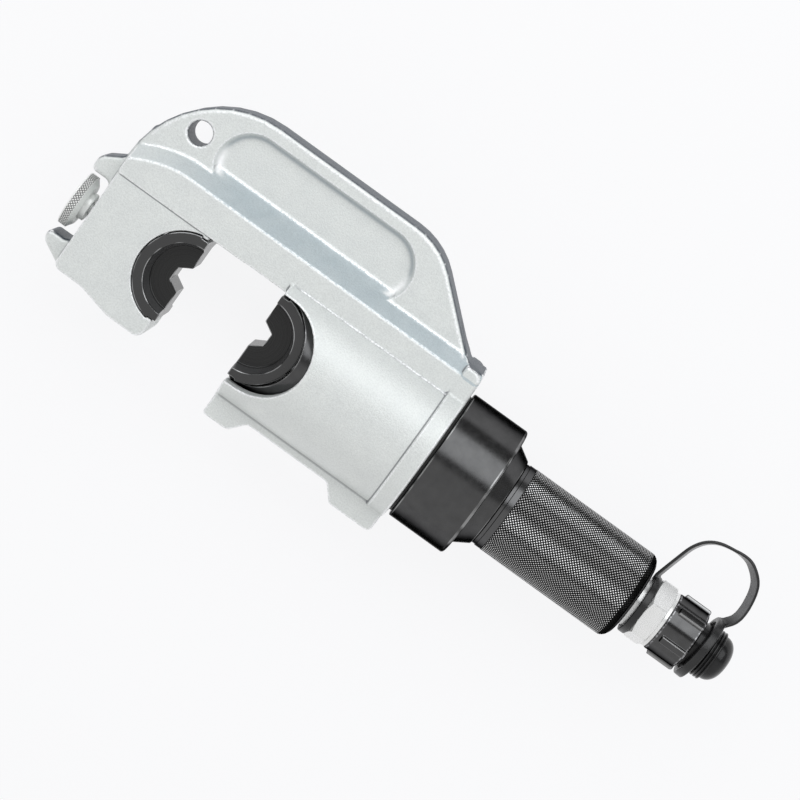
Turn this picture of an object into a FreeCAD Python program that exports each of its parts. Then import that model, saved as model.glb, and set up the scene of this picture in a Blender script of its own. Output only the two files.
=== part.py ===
import FreeCAD, Part
import math
import os
import Sketcher

# Hydraulic cable crimping head on a straight handle.
# X runs along the ram from the fixed jaw to the hose end, Y towards the spine of the C-frame,
# and Z is square to the plane of the frame. The origin is the middle of the fixed die's face.

SIZES = {
    # Throat and ram travel
    "stroke": 43.6,
    "closed_gap": 0.4,
    "throat": 26.0,
    "fit_gap": 0.06,
    "seat_gap": 0.5,
    "free_gap": 0.3,
    # Dies
    "die_radius": 25.0,
    "die_half": 21.0,
    "die_rim": 5.4,
    "die_step": 2.2,
    "die_recess": 9.0,
    "die_proud": 1.2,
    "die_lip": 1.3,
    "lip_length": 4.6,
    "die_chamfer": 0.7,
    "hex_side": 7.3,
    # Jaw and its ears
    "jaw_length": 56.0,
    "jaw_half": 20.2,
    "jaw_drop": 36.0,
    "heel_drop": 31.5,
    "heel_length": 17.0,
    "toe_length": 20.0,
    "jaw_edge": 1.5,
    "heel_corner": 4.0,
    "jaw_sweep": 25.0,
    "toe_corner": 5.0,
    "jaw_overlap": 2.0,
    "ear_reach": 12.8,
    "ear_half": 12.0,
    "ear_inner": 18.2,
    "ear_nose": 24.2,
    "ear_rise": 2.3,
    "ear_root": 32.0,
    "ear_fair": 4.6,
    "ear_corner": 2.6,
    "ear_round": 5.0,
    "ear_edge": 1.2,
    "ear_bite": 6.0,
    # Rail that joins jaw and barrel
    "rail_half": 21.0,
    "rail_top": 44.3,
    "slope_width": 11.6,
    "heel_fall": 9.5,
    "heel_run": 22.0,
    "heel_round": 50.0,
    # Web behind the rail
    "web_half": 12.5,
    "web_end": 1.8,
    "spine_top": 89.6,
    "spine_round": 55.0,
    "rear_round": 40.0,
    "rear_angle": 42.0,
    "rear_fair": 8.0,
    "shoulder_corner": 5.5,
    "rim_round": 2.4,
    "floor_half": 8.0,
    "pocket_radius": 18.5,
    "pocket_height": 63.5,
    "pocket_front": 4.5,
    "pocket_back": 72.6,
    "pocket_round": 4.0,
    "hang_radius": 6.2,
    "hang_setback": 23.6,
    "hang_height": 64.4,
    "hang_chamfer": 0.8,
    # Barrel, rear band and feet
    "barrel_radius": 38.0,
    "barrel_length": 103.2,
    "mouth_gap": 0.6,
    "slot_depth": 31.4,
    "band_width": 9.8,
    "band_rise": 1.6,
    "band_half": 21.6,
    "band_bevel": 1.0,
    "shoulder_top": 49.6,
    "shoulder_edge": 1.6,
    "foot_half": 12.0,
    "foot_drop": 48.9,
    "land_drop": 40.6,
    "front_foot": 15.0,
    "rear_foot": 25.6,
    "foot_slope": 7.0,
    "foot_setback": 0.8,
    "front_toe": 1.5,
    "front_heel": 4.0,
    "foot_round": 3.0,
    # Ram
    "ram_radius": 29.6,
    "ram_chamfer": 3.0,
    "rear_chamfer": 0.8,
    "ram_cavity": 19.0,
    "cavity_wall": 1.5,
    "seal_width": 4.0,
    "seal_depth": 3.6,
    "backup_width": 1.4,
    "seal_setback": 3.0,
    "wiper_width": 3.0,
    "wiper_depth": 2.4,
    "wiper_setback": 1.4,
    # Return spring and its anchors
    "spring_radius": 9.5,
    "spring_wire": 3.0,
    "spring_turns": 11.0,
    "pin_radius": 3.0,
    "pin_setback": 4.5,
    "pin_short": 1.5,
    "anchor_radius": 3.0,
    # End cap
    "spigot_radius": 33.0,
    "spigot_depth": 15.5,
    "anchor_setback": 10.8,
    "ring_width": 2.0,
    "ring_radius": 34.6,
    "cap_radius": 37.0,
    "cap_length": 33.0,
    "cap_chamfer": 1.6,
    "cap_break": 0.6,
    "spigot_chamfer": 1.0,
    "oring_setback": 2.0,
    "shoulder_radius": 30.0,
    "cone_length": 8.4,
    "cone_radius": 25.0,
    "cap_bore": 21.0,
    "cap_floor": 12.0,
    "oil_bore": 3.0,
    "neck_radius": 20.0,
    "neck_length": 17.0,
    "oring_wire": 1.5,
    # Handle
    "handle_radius": 24.6,
    "handle_length": 82.2,
    "handle_bore": 12.0,
    "handle_wall": 10.0,
    "handle_round": 5.5,
    "handle_groove": 0.7,
    "groove_width": 2.0,
    "plain_band": 3.6,
    "knurl_rise": 0.3,
    "set_radius": 1.5,
    "set_angle": 39.0,
    "set_length": 5.0,
    "tube_radius": 7.0,
    "tube_gap": 0.3,
    "socket_gap": 1.0,
    # Coupler
    "coupler_neck": 14.0,
    "neck_show": 7.0,
    "hex_flats": 31.6,
    "hex_length": 9.5,
    "hex_turn": 7.6,
    "hex_bevel": 1.2,
    "thrust_radius": 16.0,
    "thrust_width": 2.0,
    "thrust_chamfer": 0.4,
    "nose_radius": 11.4,
    "nose_length": 15.0,
    "valve_bore": 6.6,
    "valve_mouth": 4.2,
    "mouth_wall": 2.0,
    "valve_setback": 4.0,
    "poppet_length": 11.0,
    "poppet_taper": 2.0,
    "poppet_step": 0.4,
    "poppet_short": 0.4,
    "valve_wire": 0.9,
    "valve_turns": 5.0,
    "collar_radius": 16.3,
    "collar_length": 18.0,
    "collar_thread": 13.9,
    "collar_flange": 3.2,
    "collar_chamfer": 1.3,
    "rib_rise": 1.7,
    "rib_width": 4.4,
    "rib_length": 15.4,
    "rib_ramp": 0.8,
    "rib_root": 1.0,
    "rib_turn": 12.0,
    "clip_width": 1.2,
    # Dust plug and tether
    "plug_depth": 11.0,
    "plug_neck": 12.4,
    "plug_neck_length": 8.0,
    "plug_ridge": 13.8,
    "ridge_pitch": 1.7,
    "plug_dome": 8.0,
    "ring_wall": 2.6,
    "neck_ring": 3.8,
    "plug_ring": 4.4,
    "plug_ring_gap": 2.4,
    "plug_ring_setback": 4.9,
    "plug_ring_wall": 3.2,
    "ring_lean": 4.0,
    "strap_half": 3.1,
    "strap_thick": 1.6,
    "strap_rise": 49.2,
    "strap_round": 14.0,
    "strap_sink": 1.0,
    # Thumb screw
    "screw_radius": 4.0,
    "screw_stand": 2.8,
    "screw_bite": 2.0,
    "screw_chamfer": 1.0,
    "hub_radius": 7.7,
    "hub_length": 5.0,
    "knob_radius": 15.0,
    "knob_width": 4.6,
    "knob_taper": 2.2,
    "knob_step": 3.4,
    "knob_chamfer": 0.8,
    # Plunger that holds the moving die
    "ball_radius": 2.5,
    "plunger_length": 11.0,
    "plunger_wire": 0.6,
    "plunger_turns": 4.0,
}

doc = FreeCAD.newDocument("crimping_head")
sheet = doc.addObject("Spreadsheet::Sheet", "Size")
for row, (alias, size) in enumerate(SIZES.items(), 1):
    sheet.set(f"A{row}", alias)
    sheet.set(f"B{row}", str(size))
    sheet.setAlias(f"B{row}", alias)
doc.recompute()

NODES = []


def number(expression):
    """The value of a sheet expression, in millimetres or degrees."""
    return float(sheet.evalExpression(str(expression)))


def bind(item, **expressions):
    """Ties properties of an object to sheet expressions, with __ for a dot in the name."""
    for key, expression in expressions.items():
        item.setExpression(key.replace("__", "."), str(expression))
    return item


def origin_plane(body, role):
    return next(f for f in body.Origin.OriginFeatures if f.Role == role)


def outline(body, name, corners, role="XY_Plane", lift=None):
    """A closed sketch through corners, each corner tied to the sheet."""
    sketch = body.newObject("Sketcher::SketchObject", name)
    sketch.AttachmentSupport = (origin_plane(body, role), [""])
    sketch.MapMode = "FlatFace"
    if lift is not None:
        bind(sketch, AttachmentOffset__Base__z=lift)
    spots = [FreeCAD.Vector(number(x), number(y), 0) for x, y in corners]
    count = len(spots)
    for i in range(count):
        sketch.addGeometry(Part.LineSegment(spots[i], spots[(i + 1) % count]), False)
    for i in range(count):
        sketch.addConstraint(Sketcher.Constraint("Coincident", i, 2, (i + 1) % count, 1))
    for i, (x, y) in enumerate(corners):
        if str(x) == "0":
            sketch.addConstraint(Sketcher.Constraint("PointOnObject", i, 1, -2))
        else:
            at = sketch.addConstraint(Sketcher.Constraint("DistanceX", -1, 1, i, 1, spots[i].x))
            sketch.setExpression(f"Constraints[{at}]", str(x))
        if str(y) == "0":
            sketch.addConstraint(Sketcher.Constraint("PointOnObject", i, 1, -1))
        else:
            at = sketch.addConstraint(Sketcher.Constraint("DistanceY", -1, 1, i, 1, spots[i].y))
            sketch.setExpression(f"Constraints[{at}]", str(y))
    return sketch


def new_body(name):
    return doc.addObject("PartDesign::Body", name)


def pad(body, name, sketch, length, side="Symmetric"):
    """A pad of a sketch, to both sides of its plane unless side says otherwise."""
    feature = body.newObject("PartDesign::Pad", name)
    feature.Profile = sketch
    feature.SideType = side
    return bind(feature, Length=length)


def cut_through(body, name, sketch):
    """A pocket right through the body, both ways from the sketch."""
    feature = body.newObject("PartDesign::Pocket", name)
    feature.Profile = sketch
    feature.Type = "ThroughAll"
    feature.SideType = "Symmetric"
    return feature


def upright_edges(shape, x, y):
    """Names of the edges along Z that stand on the point x, y."""
    found = []
    for index, edge in enumerate(shape.Edges, 1):
        ends = [v.Point for v in edge.Vertexes]
        if len(ends) == 2 and all(math.hypot(p.x - x, p.y - y) < 1e-3 for p in ends):
            found.append(f"Edge{index}")
    return found


def face_edges(shape, height, keep=lambda box: True):
    """Names of the edges that lie in the planes z = height and z = -height."""
    found = []
    for index, edge in enumerate(shape.Edges, 1):
        box = edge.BoundBox
        flat = box.ZLength < 1e-3 and abs(abs(box.ZMin) - height) < 1e-3
        if flat and keep(box):
            found.append(f"Edge{index}")
    return found


def block(name, corners, half, rounds=(), rim=None, keep=lambda box: True):
    """A plate outlined in XY, with rounded upright corners and, if asked, rounded rims."""
    body = new_body(name)
    pad(body, f"{name}_pad", outline(body, f"{name}_outline", corners), f"2 * ({half})")
    doc.recompute()
    for turn, (index, radius) in enumerate(rounds):
        x, y = (number(value) for value in corners[index])
        base = body.Tip
        feature = body.newObject("PartDesign::Fillet", f"{name}_round_{turn}")
        feature.Base = (base, upright_edges(base.Shape, x, y))
        bind(feature, Radius=radius)
        doc.recompute()
    if rim is not None:
        base = body.Tip
        feature = body.newObject("PartDesign::Fillet", f"{name}_rim")
        feature.Base = (base, face_edges(base.Shape, number(half), keep))
        bind(feature, Radius=rim)
        doc.recompute()
    return body


def hoop_edges(shape, x, radius):
    """Names of the round edges about the X axis at x with that radius."""
    found = []
    for index, edge in enumerate(shape.Edges, 1):
        box = edge.BoundBox
        curve = edge.Curve
        if box.XLength < 1e-3 and abs(box.XMin - x) < 1e-3 and isinstance(curve, Part.Circle):
            if abs(curve.Radius - radius) < 1e-3:
                found.append(f"Edge{index}")
    return found


def turned(name, profile, rounds=()):
    """A piece turned about the X axis from x, radius corners, some of them rounded."""
    body = new_body(name)
    sketch = outline(body, f"{name}_profile", profile)
    feature = body.newObject("PartDesign::Revolution", f"{name}_turning")
    feature.Profile = sketch
    feature.ReferenceAxis = (sketch, ["H_Axis"])
    feature.Angle = 360
    for turn, (index, round_radius) in enumerate(rounds):
        doc.recompute()
        base = body.Tip
        x, radius = (number(value) for value in profile[index])
        feature = body.newObject("PartDesign::Fillet", f"{name}_round_{turn}")
        feature.Base = (base, hoop_edges(base.Shape, x, radius))
        bind(feature, Radius=round_radius)
    return body


def rod(name, radius, start, length):
    """A plain cylinder along X."""
    item = doc.addObject("Part::Cylinder", name)
    item.Placement = FreeCAD.Placement(
        FreeCAD.Vector(), FreeCAD.Rotation(FreeCAD.Vector(0, 1, 0), 90))
    return bind(item, Radius=radius, Height=length, Placement__Base__x=start)


def post(name, radius, x, y, half):
    """A plain cylinder along Z, half above and half below the XY plane."""
    item = doc.addObject("Part::Cylinder", name)
    return bind(item, Radius=radius, Height=f"2 * ({half})", Placement__Base__x=x,
                Placement__Base__y=y, Placement__Base__z=f"-({half})")


def ring(name, ring_radius, wire, x):
    """A round-section ring about the X axis."""
    item = doc.addObject("Part::Torus", name)
    item.Placement = FreeCAD.Placement(
        FreeCAD.Vector(), FreeCAD.Rotation(FreeCAD.Vector(0, 1, 0), 90))
    return bind(item, Radius1=ring_radius, Radius2=wire, Placement__Base__x=x)


def fuse(name, *items):
    item = doc.addObject("Part::MultiFuse", name)
    item.Shapes = list(items)
    item.Refine = True
    return item


def cut(name, base, *tools):
    """base less its tools."""
    item = doc.addObject("Part::Cut", name)
    item.Base = base
    item.Tool = tools[0] if len(tools) == 1 else fuse(f"{name}_tools", *tools)
    return item


# Sides of the springs' wire: eight, near enough round and light in facets.
WIRE_SIDES = 8


def coil(name, radius, wire, start, length, turns):
    """A wire spring along X, its middle line from start over length."""
    path = doc.addObject("Part::Helix", f"{name}_path")
    bind(path, Radius=radius, Height=length, Pitch=f"({length}) / ({turns})")
    section = doc.addObject("Part::RegularPolygon", f"{name}_section")
    section.Polygon = WIRE_SIDES
    section.Placement = FreeCAD.Placement(
        FreeCAD.Vector(), FreeCAD.Rotation(FreeCAD.Vector(1, 0, 0), 90))
    bind(section, Circumradius=wire, Placement__Base__x=radius)
    spring = doc.addObject("Part::Sweep", name)
    spring.Sections = [section]
    spring.Spine = (path, ["Edge1"])
    spring.Solid = True
    spring.Frenet = True
    spring.Placement = FreeCAD.Placement(
        FreeCAD.Vector(), FreeCAD.Rotation(FreeCAD.Vector(0, 1, 0), 90))
    return bind(spring, Placement__Base__x=start)


def node(item, label):
    """Names a finished sub-part and lists it for writing."""
    item.Label = label
    NODES.append(item)
    return item


# Stations along the X axis
JAW_FACE = "-Size.die_proud"
JAW_END = "(-Size.die_proud - Size.jaw_length)"
WEB_END = f"({JAW_END} - Size.web_end)"
RAM_FACE = "(Size.stroke + Size.closed_gap)"
MOUTH = f"({RAM_FACE} + Size.mouth_gap)"
BARREL_END = f"({MOUTH} + Size.barrel_length)"
BAND_START = f"({BARREL_END} - Size.band_width)"
SLOT_END = f"({MOUTH} + Size.slot_depth)"
SPIGOT_FRONT = f"({BARREL_END} - Size.spigot_depth)"
RAM_REAR = f"({SPIGOT_FRONT} - Size.free_gap)"
CAP_FRONT = f"({BARREL_END} + Size.ring_width)"
CAP_REAR = f"({CAP_FRONT} + Size.cap_length)"
CONE_END = f"({CAP_REAR} + Size.cone_length)"
HANDLE_END = f"({CONE_END} + Size.handle_length)"
HEX_START = f"({HANDLE_END} + Size.neck_show)"
HEX_END = f"({HEX_START} + Size.hex_length)"
COLLAR_START = f"({HEX_END} + Size.thrust_width)"
COLLAR_END = f"({COLLAR_START} + Size.collar_length)"
SEAT_RADIUS = "(Size.die_radius + Size.seat_gap)"
LIP_HALF = "(Size.die_radius - Size.die_lip)"
BORE_RADIUS = "(Size.ram_radius + Size.fit_gap)"


# C-frame
# Web: the plate behind the rail, with a straight top and a round front.
rear_slope = "tan(Size.rear_angle)"
slope_foot = f"({BARREL_END} - Size.band_width - Size.free_gap)"
top_corner = f"({slope_foot} - (Size.spine_top - Size.shoulder_top) / {rear_slope})"
web = block(
    "web",
    [
        (WEB_END, "Size.ear_root"),
        (WEB_END, "Size.spine_top"),
        (top_corner, "Size.spine_top"),
        (slope_foot, "Size.shoulder_top"),
        (BARREL_END, "Size.shoulder_top"),
        (BARREL_END, "Size.ear_root"),
    ],
    "Size.web_half",
    rounds=[(1, "Size.spine_round"), (2, "Size.rear_round"), (3, "Size.rear_fair"),
            (4, "Size.shoulder_corner")],
    rim="Size.rim_round",
    keep=lambda box: box.YMax > number("Size.ear_root") + 0.01 and
    box.XMin < number(f"{BARREL_END} - Size.shoulder_corner") - 0.5,
)


# Pocket: a long hollow with round ends in each side of the web.
def pocket(name, side):
    """One pocket, rounded where its wall meets its floor."""
    body = new_body(name)
    low = "Size.pocket_height - Size.pocket_radius"
    high = "Size.pocket_height + Size.pocket_radius"
    front = "-Size.pocket_front - Size.pocket_radius"
    back = "Size.pocket_back + Size.pocket_radius"
    sketch = outline(body, f"{name}_outline", [(front, low), (back, low), (back, high), (front, high)],
                     lift=f"{side} * Size.floor_half")
    feature = pad(body, f"{name}_pad", sketch, "Size.web_half", "One side")
    feature.Reversed = side < 0
    doc.recompute()
    base = body.Tip
    ends = body.newObject("PartDesign::Fillet", f"{name}_ends")
    corners = [(x, y) for x in (number(front), number(back)) for y in (number(low), number(high))]
    ends.Base = (base, [edge for x, y in corners for edge in upright_edges(base.Shape, x, y)])
    bind(ends, Radius="Size.pocket_radius * 0.998")
    doc.recompute()
    base = body.Tip
    floor = body.newObject("PartDesign::Fillet", f"{name}_floor")
    floor.Base = (base, [
        f"Edge{index}" for index, edge in enumerate(base.Shape.Edges, 1)
        if edge.BoundBox.ZLength < 1e-3 and abs(edge.BoundBox.ZMin - side * number("Size.floor_half")) < 1e-3])
    bind(floor, Radius="Size.pocket_round")
    return body


hollow_web = cut("hollow_web", web, pocket("near_pocket", 1), pocket("far_pocket", -1))

# Rail: the thick bar between jaw and barrel, its flanks sloping down to the web and its rear
# end cut off along the web's outline.
low_edge = "(Size.rail_top + Size.slope_width)"
rail = new_body("rail")


def rail_corners(top):
    return [
        (JAW_END, "Size.throat"),
        (BARREL_END, "Size.throat"),
        (BARREL_END, top),
        (f"{JAW_END} + Size.heel_run", top),
        (JAW_END, f"{top} - Size.heel_fall"),
    ]


pad(rail, "rail_core", outline(rail, "rail_foot", rail_corners(low_edge)), "2 * Size.floor_half")
for side, turn in (("near", 1), ("far", -1)):
    foot = outline(rail, f"rail_{side}_foot", rail_corners(low_edge), lift=f"{turn} * Size.floor_half")
    crest = outline(rail, f"rail_{side}_crest", rail_corners("Size.rail_top"), lift=f"{turn} * Size.rail_half")
    flank = rail.newObject("PartDesign::AdditiveLoft", f"rail_{side}_flank")
    flank.Profile = foot
    flank.Sections = [crest]
    flank.Ruled = True
doc.recompute()


def bend_edges(shape):
    """Names of the edges down the rail's outer face where it starts to fall towards the jaw."""
    bend = number(f"{JAW_END} + Size.heel_run")
    found = []
    for index, edge in enumerate(shape.Edges, 1):
        box = edge.BoundBox
        if box.XLength < 1e-3 and abs(box.XMin - bend) < 1e-3 and box.YMin > number("Size.rail_top") - 0.1:
            found.append(f"Edge{index}")
    return found


rail_base = rail.Tip
rail_bend = rail.newObject("PartDesign::Fillet", "rail_bend")
rail_bend.Base = (rail_base, bend_edges(rail_base.Shape))
bind(rail_bend, Radius="Size.heel_round")
rear_trim = block(
    "rear_trim",
    [
        (slope_foot, "Size.shoulder_top"),
        (f"{BARREL_END} + 1", "Size.shoulder_top"),
        (f"{BARREL_END} + 1", "Size.spine_top"),
        (top_corner, "Size.spine_top"),
    ],
    "Size.rail_half + 1",
    rounds=[(0, "Size.rear_fair")],
)
trimmed_rail = cut("trimmed_rail", rail, rear_trim)

# Jaw: the anvil block, deeper at its toe than at its heel.
jaw = block(
    "jaw",
    [
        (JAW_END, "Size.throat + Size.jaw_overlap"),
        (JAW_END, "-Size.heel_drop"),
        (f"{JAW_END} + Size.heel_length", "-Size.heel_drop"),
        (f"{JAW_FACE} - Size.toe_length", "-Size.jaw_drop"),
        (JAW_FACE, "-Size.jaw_drop"),
        (JAW_FACE, "Size.throat + Size.jaw_overlap"),
    ],
    "Size.jaw_half",
    rounds=[(1, "Size.heel_corner"), (2, "Size.jaw_sweep"), (3, "Size.jaw_sweep"), (4, "Size.toe_corner")],
    rim="Size.jaw_edge",
    keep=lambda box: box.YMin < number("Size.throat") + 1,
)


# Ears: the two guards that stand either side of the thumb screw.
def ear(name, side):
    """One ear, faired into the end of the jaw."""
    tip = f"({JAW_END} - Size.ear_reach)"
    nose = f"{side} * Size.ear_nose + {max(side, 0)} * Size.ear_rise"
    root = f"{side} * (Size.ear_root + {min(side, 0)}) + {max(side, 0)} * Size.ear_rise"
    return block(
        name,
        [
            (f"{JAW_END} + Size.ear_bite", f"{side} * (Size.ear_inner - Size.ear_fair)"),
            (JAW_END, f"{side} * (Size.ear_inner - Size.ear_fair)"),
            (JAW_END, f"{side} * Size.ear_inner"),
            (tip, f"{side} * Size.ear_inner"),
            (tip, nose),
            (JAW_END, root),
            (f"{JAW_END} + Size.ear_bite", root),
        ],
        "Size.ear_half",
        rounds=[(2, "Size.ear_fair - 0.01"), (3, "Size.ear_corner"), (4, "Size.ear_round")],
        rim="Size.ear_edge",
        keep=lambda box: box.XMin < number(JAW_END) - 0.01,
    )


upper_ear = ear("upper_ear", 1)
lower_ear = ear("lower_ear", -1)

# Barrel with its raised rear band, the shoulder over it and the two feet under it.
barrel = turned(
    "barrel",
    [
        (MOUTH, "0"),
        (MOUTH, "Size.barrel_radius"),
        (BAND_START, "Size.barrel_radius"),
        (f"{BAND_START} + Size.band_bevel", "Size.barrel_radius + Size.band_rise"),
        (f"{BARREL_END} - Size.band_bevel", "Size.barrel_radius + Size.band_rise"),
        (BARREL_END, "Size.barrel_radius + Size.band_rise - Size.band_bevel"),
        (BARREL_END, "0"),
    ],
)
shoulder = block(
    "shoulder",
    [
        (BAND_START, "Size.throat"),
        (BAND_START, "Size.shoulder_top"),
        (BARREL_END, "Size.shoulder_top"),
        (BARREL_END, "Size.throat"),
    ],
    "Size.band_half",
    rounds=[(2, "Size.shoulder_corner")],
    rim="Size.shoulder_edge",
    keep=lambda box: box.YMax > number("Size.throat") + 0.01,
)
foot_line = "-Size.foot_drop"
land_line = "-Size.land_drop"
feet = block(
    "feet",
    [
        (MOUTH, "-Size.throat"),
        (MOUTH, foot_line),
        (f"{MOUTH} + Size.front_foot", foot_line),
        (f"{MOUTH} + Size.front_foot + Size.foot_slope", land_line),
        (f"{BARREL_END} - Size.rear_foot - Size.foot_slope", land_line),
        (f"{BARREL_END} - Size.rear_foot", foot_line),
        (f"{BARREL_END} - Size.foot_setback", foot_line),
        (f"{BARREL_END} - Size.foot_setback / 2", "-Size.throat"),
    ],
    "Size.foot_half",
    rounds=[(1, "Size.front_toe"), (2, "Size.front_heel"), *[(i, "Size.foot_round") for i in range(3, 7)]],
)
solid_frame = fuse("solid_frame", hollow_web, trimmed_rail, jaw, upper_ear, lower_ear, barrel, shoulder, feet)

# Hollows of the frame: ram bore, cap thread, wiper groove, mouth slot, die seat, screw and hanging holes.
ram_bore = rod("ram_bore", BORE_RADIUS, JAW_FACE, f"{BARREL_END} - ({JAW_FACE})")
throat_relief = rod("throat_relief", "Size.ram_radius + Size.seat_gap", JAW_FACE, f"{SLOT_END} - ({JAW_FACE})")
cap_thread = rod("cap_thread", "Size.spigot_radius + Size.fit_gap", f"{SPIGOT_FRONT} - Size.free_gap",
                 f"{BARREL_END} - {SPIGOT_FRONT} + 2 * Size.free_gap")
WIPER_START = f"({SLOT_END} + Size.wiper_setback)"
wiper_groove = rod("wiper_groove", "Size.ram_radius + Size.wiper_depth", WIPER_START, "Size.wiper_width")
slot_end = post("slot_end", "Size.throat", f"{SLOT_END} - Size.throat", "0", "Size.barrel_radius * 2")
slot_mouth = bind(
    doc.addObject("Part::Box", "slot_mouth"),
    Length=f"{SLOT_END} - Size.throat", Width="2 * Size.throat", Height="4 * Size.barrel_radius",
    Placement__Base__y="-Size.throat", Placement__Base__z="-2 * Size.barrel_radius")


def die_seat(name, face, turn):
    """A half-round seat with two lips at its mouth that keep the die from falling out."""
    bowl = post(f"{name}_bowl", SEAT_RADIUS, face, "0", "Size.barrel_radius")
    slab_start = f"{face} + Size.lip_length" if turn > 0 else f"{face} - Size.lip_length - Size.die_radius"
    slab = bind(
        doc.addObject("Part::Box", f"{name}_slab"),
        Length="Size.die_radius", Width="4 * Size.die_radius", Height="2 * Size.barrel_radius",
        Placement__Base__x=slab_start, Placement__Base__y="-2 * Size.die_radius",
        Placement__Base__z="-Size.barrel_radius")
    deep = doc.addObject("Part::Common", f"{name}_deep")
    deep.Base = bowl
    deep.Tool = slab
    mouth = bind(
        doc.addObject("Part::Box", f"{name}_mouth"),
        Length="2 * Size.lip_length", Width=f"2 * ({LIP_HALF} + Size.seat_gap)", Height="2 * Size.barrel_radius",
        Placement__Base__x=f"{face} - Size.lip_length",
        Placement__Base__y=f"-({LIP_HALF} + Size.seat_gap)", Placement__Base__z="-Size.barrel_radius")
    return fuse(name, deep, mouth)


jaw_seat = die_seat("jaw_seat", "0", -1)
screw_hole = rod("screw_hole", "Size.screw_radius + Size.fit_gap", f"{JAW_END} - 1", "Size.jaw_length")
hang_x = f"({WEB_END} + Size.hang_setback)"
hang_hole = post("hang_hole", "Size.hang_radius", hang_x, "Size.hang_height", "Size.web_half + 1")


def hang_bevel(name, side):
    """The bevelled mouth of the hanging hole on one side."""
    cone = doc.addObject("Part::Cone", name)
    small = "Size.hang_radius"
    large = "Size.hang_radius + 2 * Size.hang_chamfer"
    return bind(cone, Radius1=small if side > 0 else large, Radius2=large if side > 0 else small,
                Height="2 * Size.hang_chamfer", Placement__Base__x=hang_x,
                Placement__Base__y="Size.hang_height",
                Placement__Base__z=f"{side} * Size.web_half - Size.hang_chamfer")


whole_frame = cut(
    "whole_frame", solid_frame, ram_bore, throat_relief, cap_thread, wiper_groove, slot_end, slot_mouth,
    jaw_seat, screw_hole, hang_hole, hang_bevel("near_bevel", 1), hang_bevel("far_bevel", -1))


# The forging is written as two nodes that meet at the mouth, so that nothing bridges the throat.
def stretch(name, start, end):
    """The part of the forging between two stations along X."""
    space = bind(
        doc.addObject("Part::Box", f"{name}_space"),
        Length=f"{end} - ({start})", Width="2 * (Size.foot_drop + Size.spine_top)",
        Height="4 * Size.barrel_radius", Placement__Base__x=start,
        Placement__Base__y="-2 * Size.foot_drop", Placement__Base__z="-2 * Size.barrel_radius")
    item = doc.addObject("Part::Common", name)
    item.Base = whole_frame
    item.Tool = space
    return item


node(stretch("frame_front", f"{JAW_END} - 2 * Size.ear_reach", MOUTH), "c_frame")
node(stretch("frame_rear", MOUTH, f"{BARREL_END} + Size.free_gap"), "frame_barrel")


# Dies: two half discs with a raised rim, a sunk face and half of a hexagon.
def die(label, face, turn):
    """One die with its flat at x = face, its round back towards turn."""
    body = new_body(f"{label}_body")
    inner = "Size.die_radius - Size.die_rim"
    sunk = "Size.die_half - Size.die_recess"
    profile = [("0", f"-({sunk})"), (f"{inner} - Size.die_step", f"-({sunk})"), (inner, "-Size.die_half"),
               ("Size.die_radius - Size.die_chamfer", "-Size.die_half"),
               ("Size.die_radius", "-Size.die_half + Size.die_chamfer"),
               ("Size.die_radius", "Size.die_half - Size.die_chamfer"),
               ("Size.die_radius - Size.die_chamfer", "Size.die_half"), (inner, "Size.die_half"),
               (f"{inner} - Size.die_step", sunk), ("0", sunk)]
    sketch = outline(body, f"{label}_profile", profile, role="XZ_Plane")
    disc = body.newObject("PartDesign::Revolution", f"{label}_disc")
    disc.Profile = sketch
    disc.ReferenceAxis = (sketch, ["V_Axis"])
    disc.Angle = 360
    far = "2 * Size.die_radius"
    cut_through(body, f"{label}_flat", outline(
        body, f"{label}_flat_outline",
        [("0", f"-{far}"), (f"{-turn} * {far}", f"-{far}"), (f"{-turn} * {far}", far), ("0", far)]))
    for name, side in (("low", -1), ("high", 1)):
        cut_through(body, f"{label}_{name}_lip", outline(
            body, f"{label}_{name}_lip_outline",
            [(f"{-turn} * 1", f"{side} * {LIP_HALF}"), (f"{turn} * Size.lip_length", f"{side} * {LIP_HALF}"),
             (f"{turn} * Size.lip_length", f"{side} * {far}"), (f"{-turn} * 1", f"{side} * {far}")]))
    deep = "Size.hex_side * cos(30)"
    cut_through(body, f"{label}_notch", outline(
        body, f"{label}_notch_outline",
        [(f"{turn} * {deep}", "-Size.hex_side / 2"), (f"{turn} * {deep}", "Size.hex_side / 2"),
         ("0", "Size.hex_side"), (f"{-turn} * 1", "Size.hex_side"),
         (f"{-turn} * 1", "-Size.hex_side"), ("0", "-Size.hex_side")]))
    bind(body, Placement__Base__x=face)
    return node(body, label)


die("fixed_die", "0", -1)
die("moving_die", RAM_FACE, 1)

# Ram: hollow from behind, grooved for its seals, with the moving die's seat in its front.
SEAL_START = f"({RAM_REAR} - Size.seal_setback - Size.seal_width - Size.backup_width)"
PLUNGER_START = f"({RAM_FACE} + {SEAT_RADIUS})"
HOLE_END = f"({PLUNGER_START} + Size.plunger_length)"
CAVITY_START = f"({HOLE_END} + Size.cavity_wall)"
groove_radius = "Size.ram_radius - Size.seal_depth"
ram_blank = turned(
    "ram_blank",
    [
        (RAM_FACE, "0"),
        (RAM_FACE, "Size.ram_radius - Size.ram_chamfer"),
        (f"{RAM_FACE} + Size.ram_chamfer", "Size.ram_radius"),
        (SEAL_START, "Size.ram_radius"),
        (SEAL_START, groove_radius),
        (f"{SEAL_START} + Size.seal_width + Size.backup_width", groove_radius),
        (f"{SEAL_START} + Size.seal_width + Size.backup_width", "Size.ram_radius"),
        (f"{RAM_REAR} - Size.rear_chamfer", "Size.ram_radius"),
        (RAM_REAR, "Size.ram_radius - Size.rear_chamfer"),
        (RAM_REAR, "Size.ram_cavity"),
        (CAVITY_START, "Size.ram_cavity"),
        (CAVITY_START, "0"),
    ],
)
ram_seat = die_seat("ram_seat", RAM_FACE, 1)
PIN_X = f"({CAVITY_START} + Size.pin_radius + Size.pin_setback)"
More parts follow.
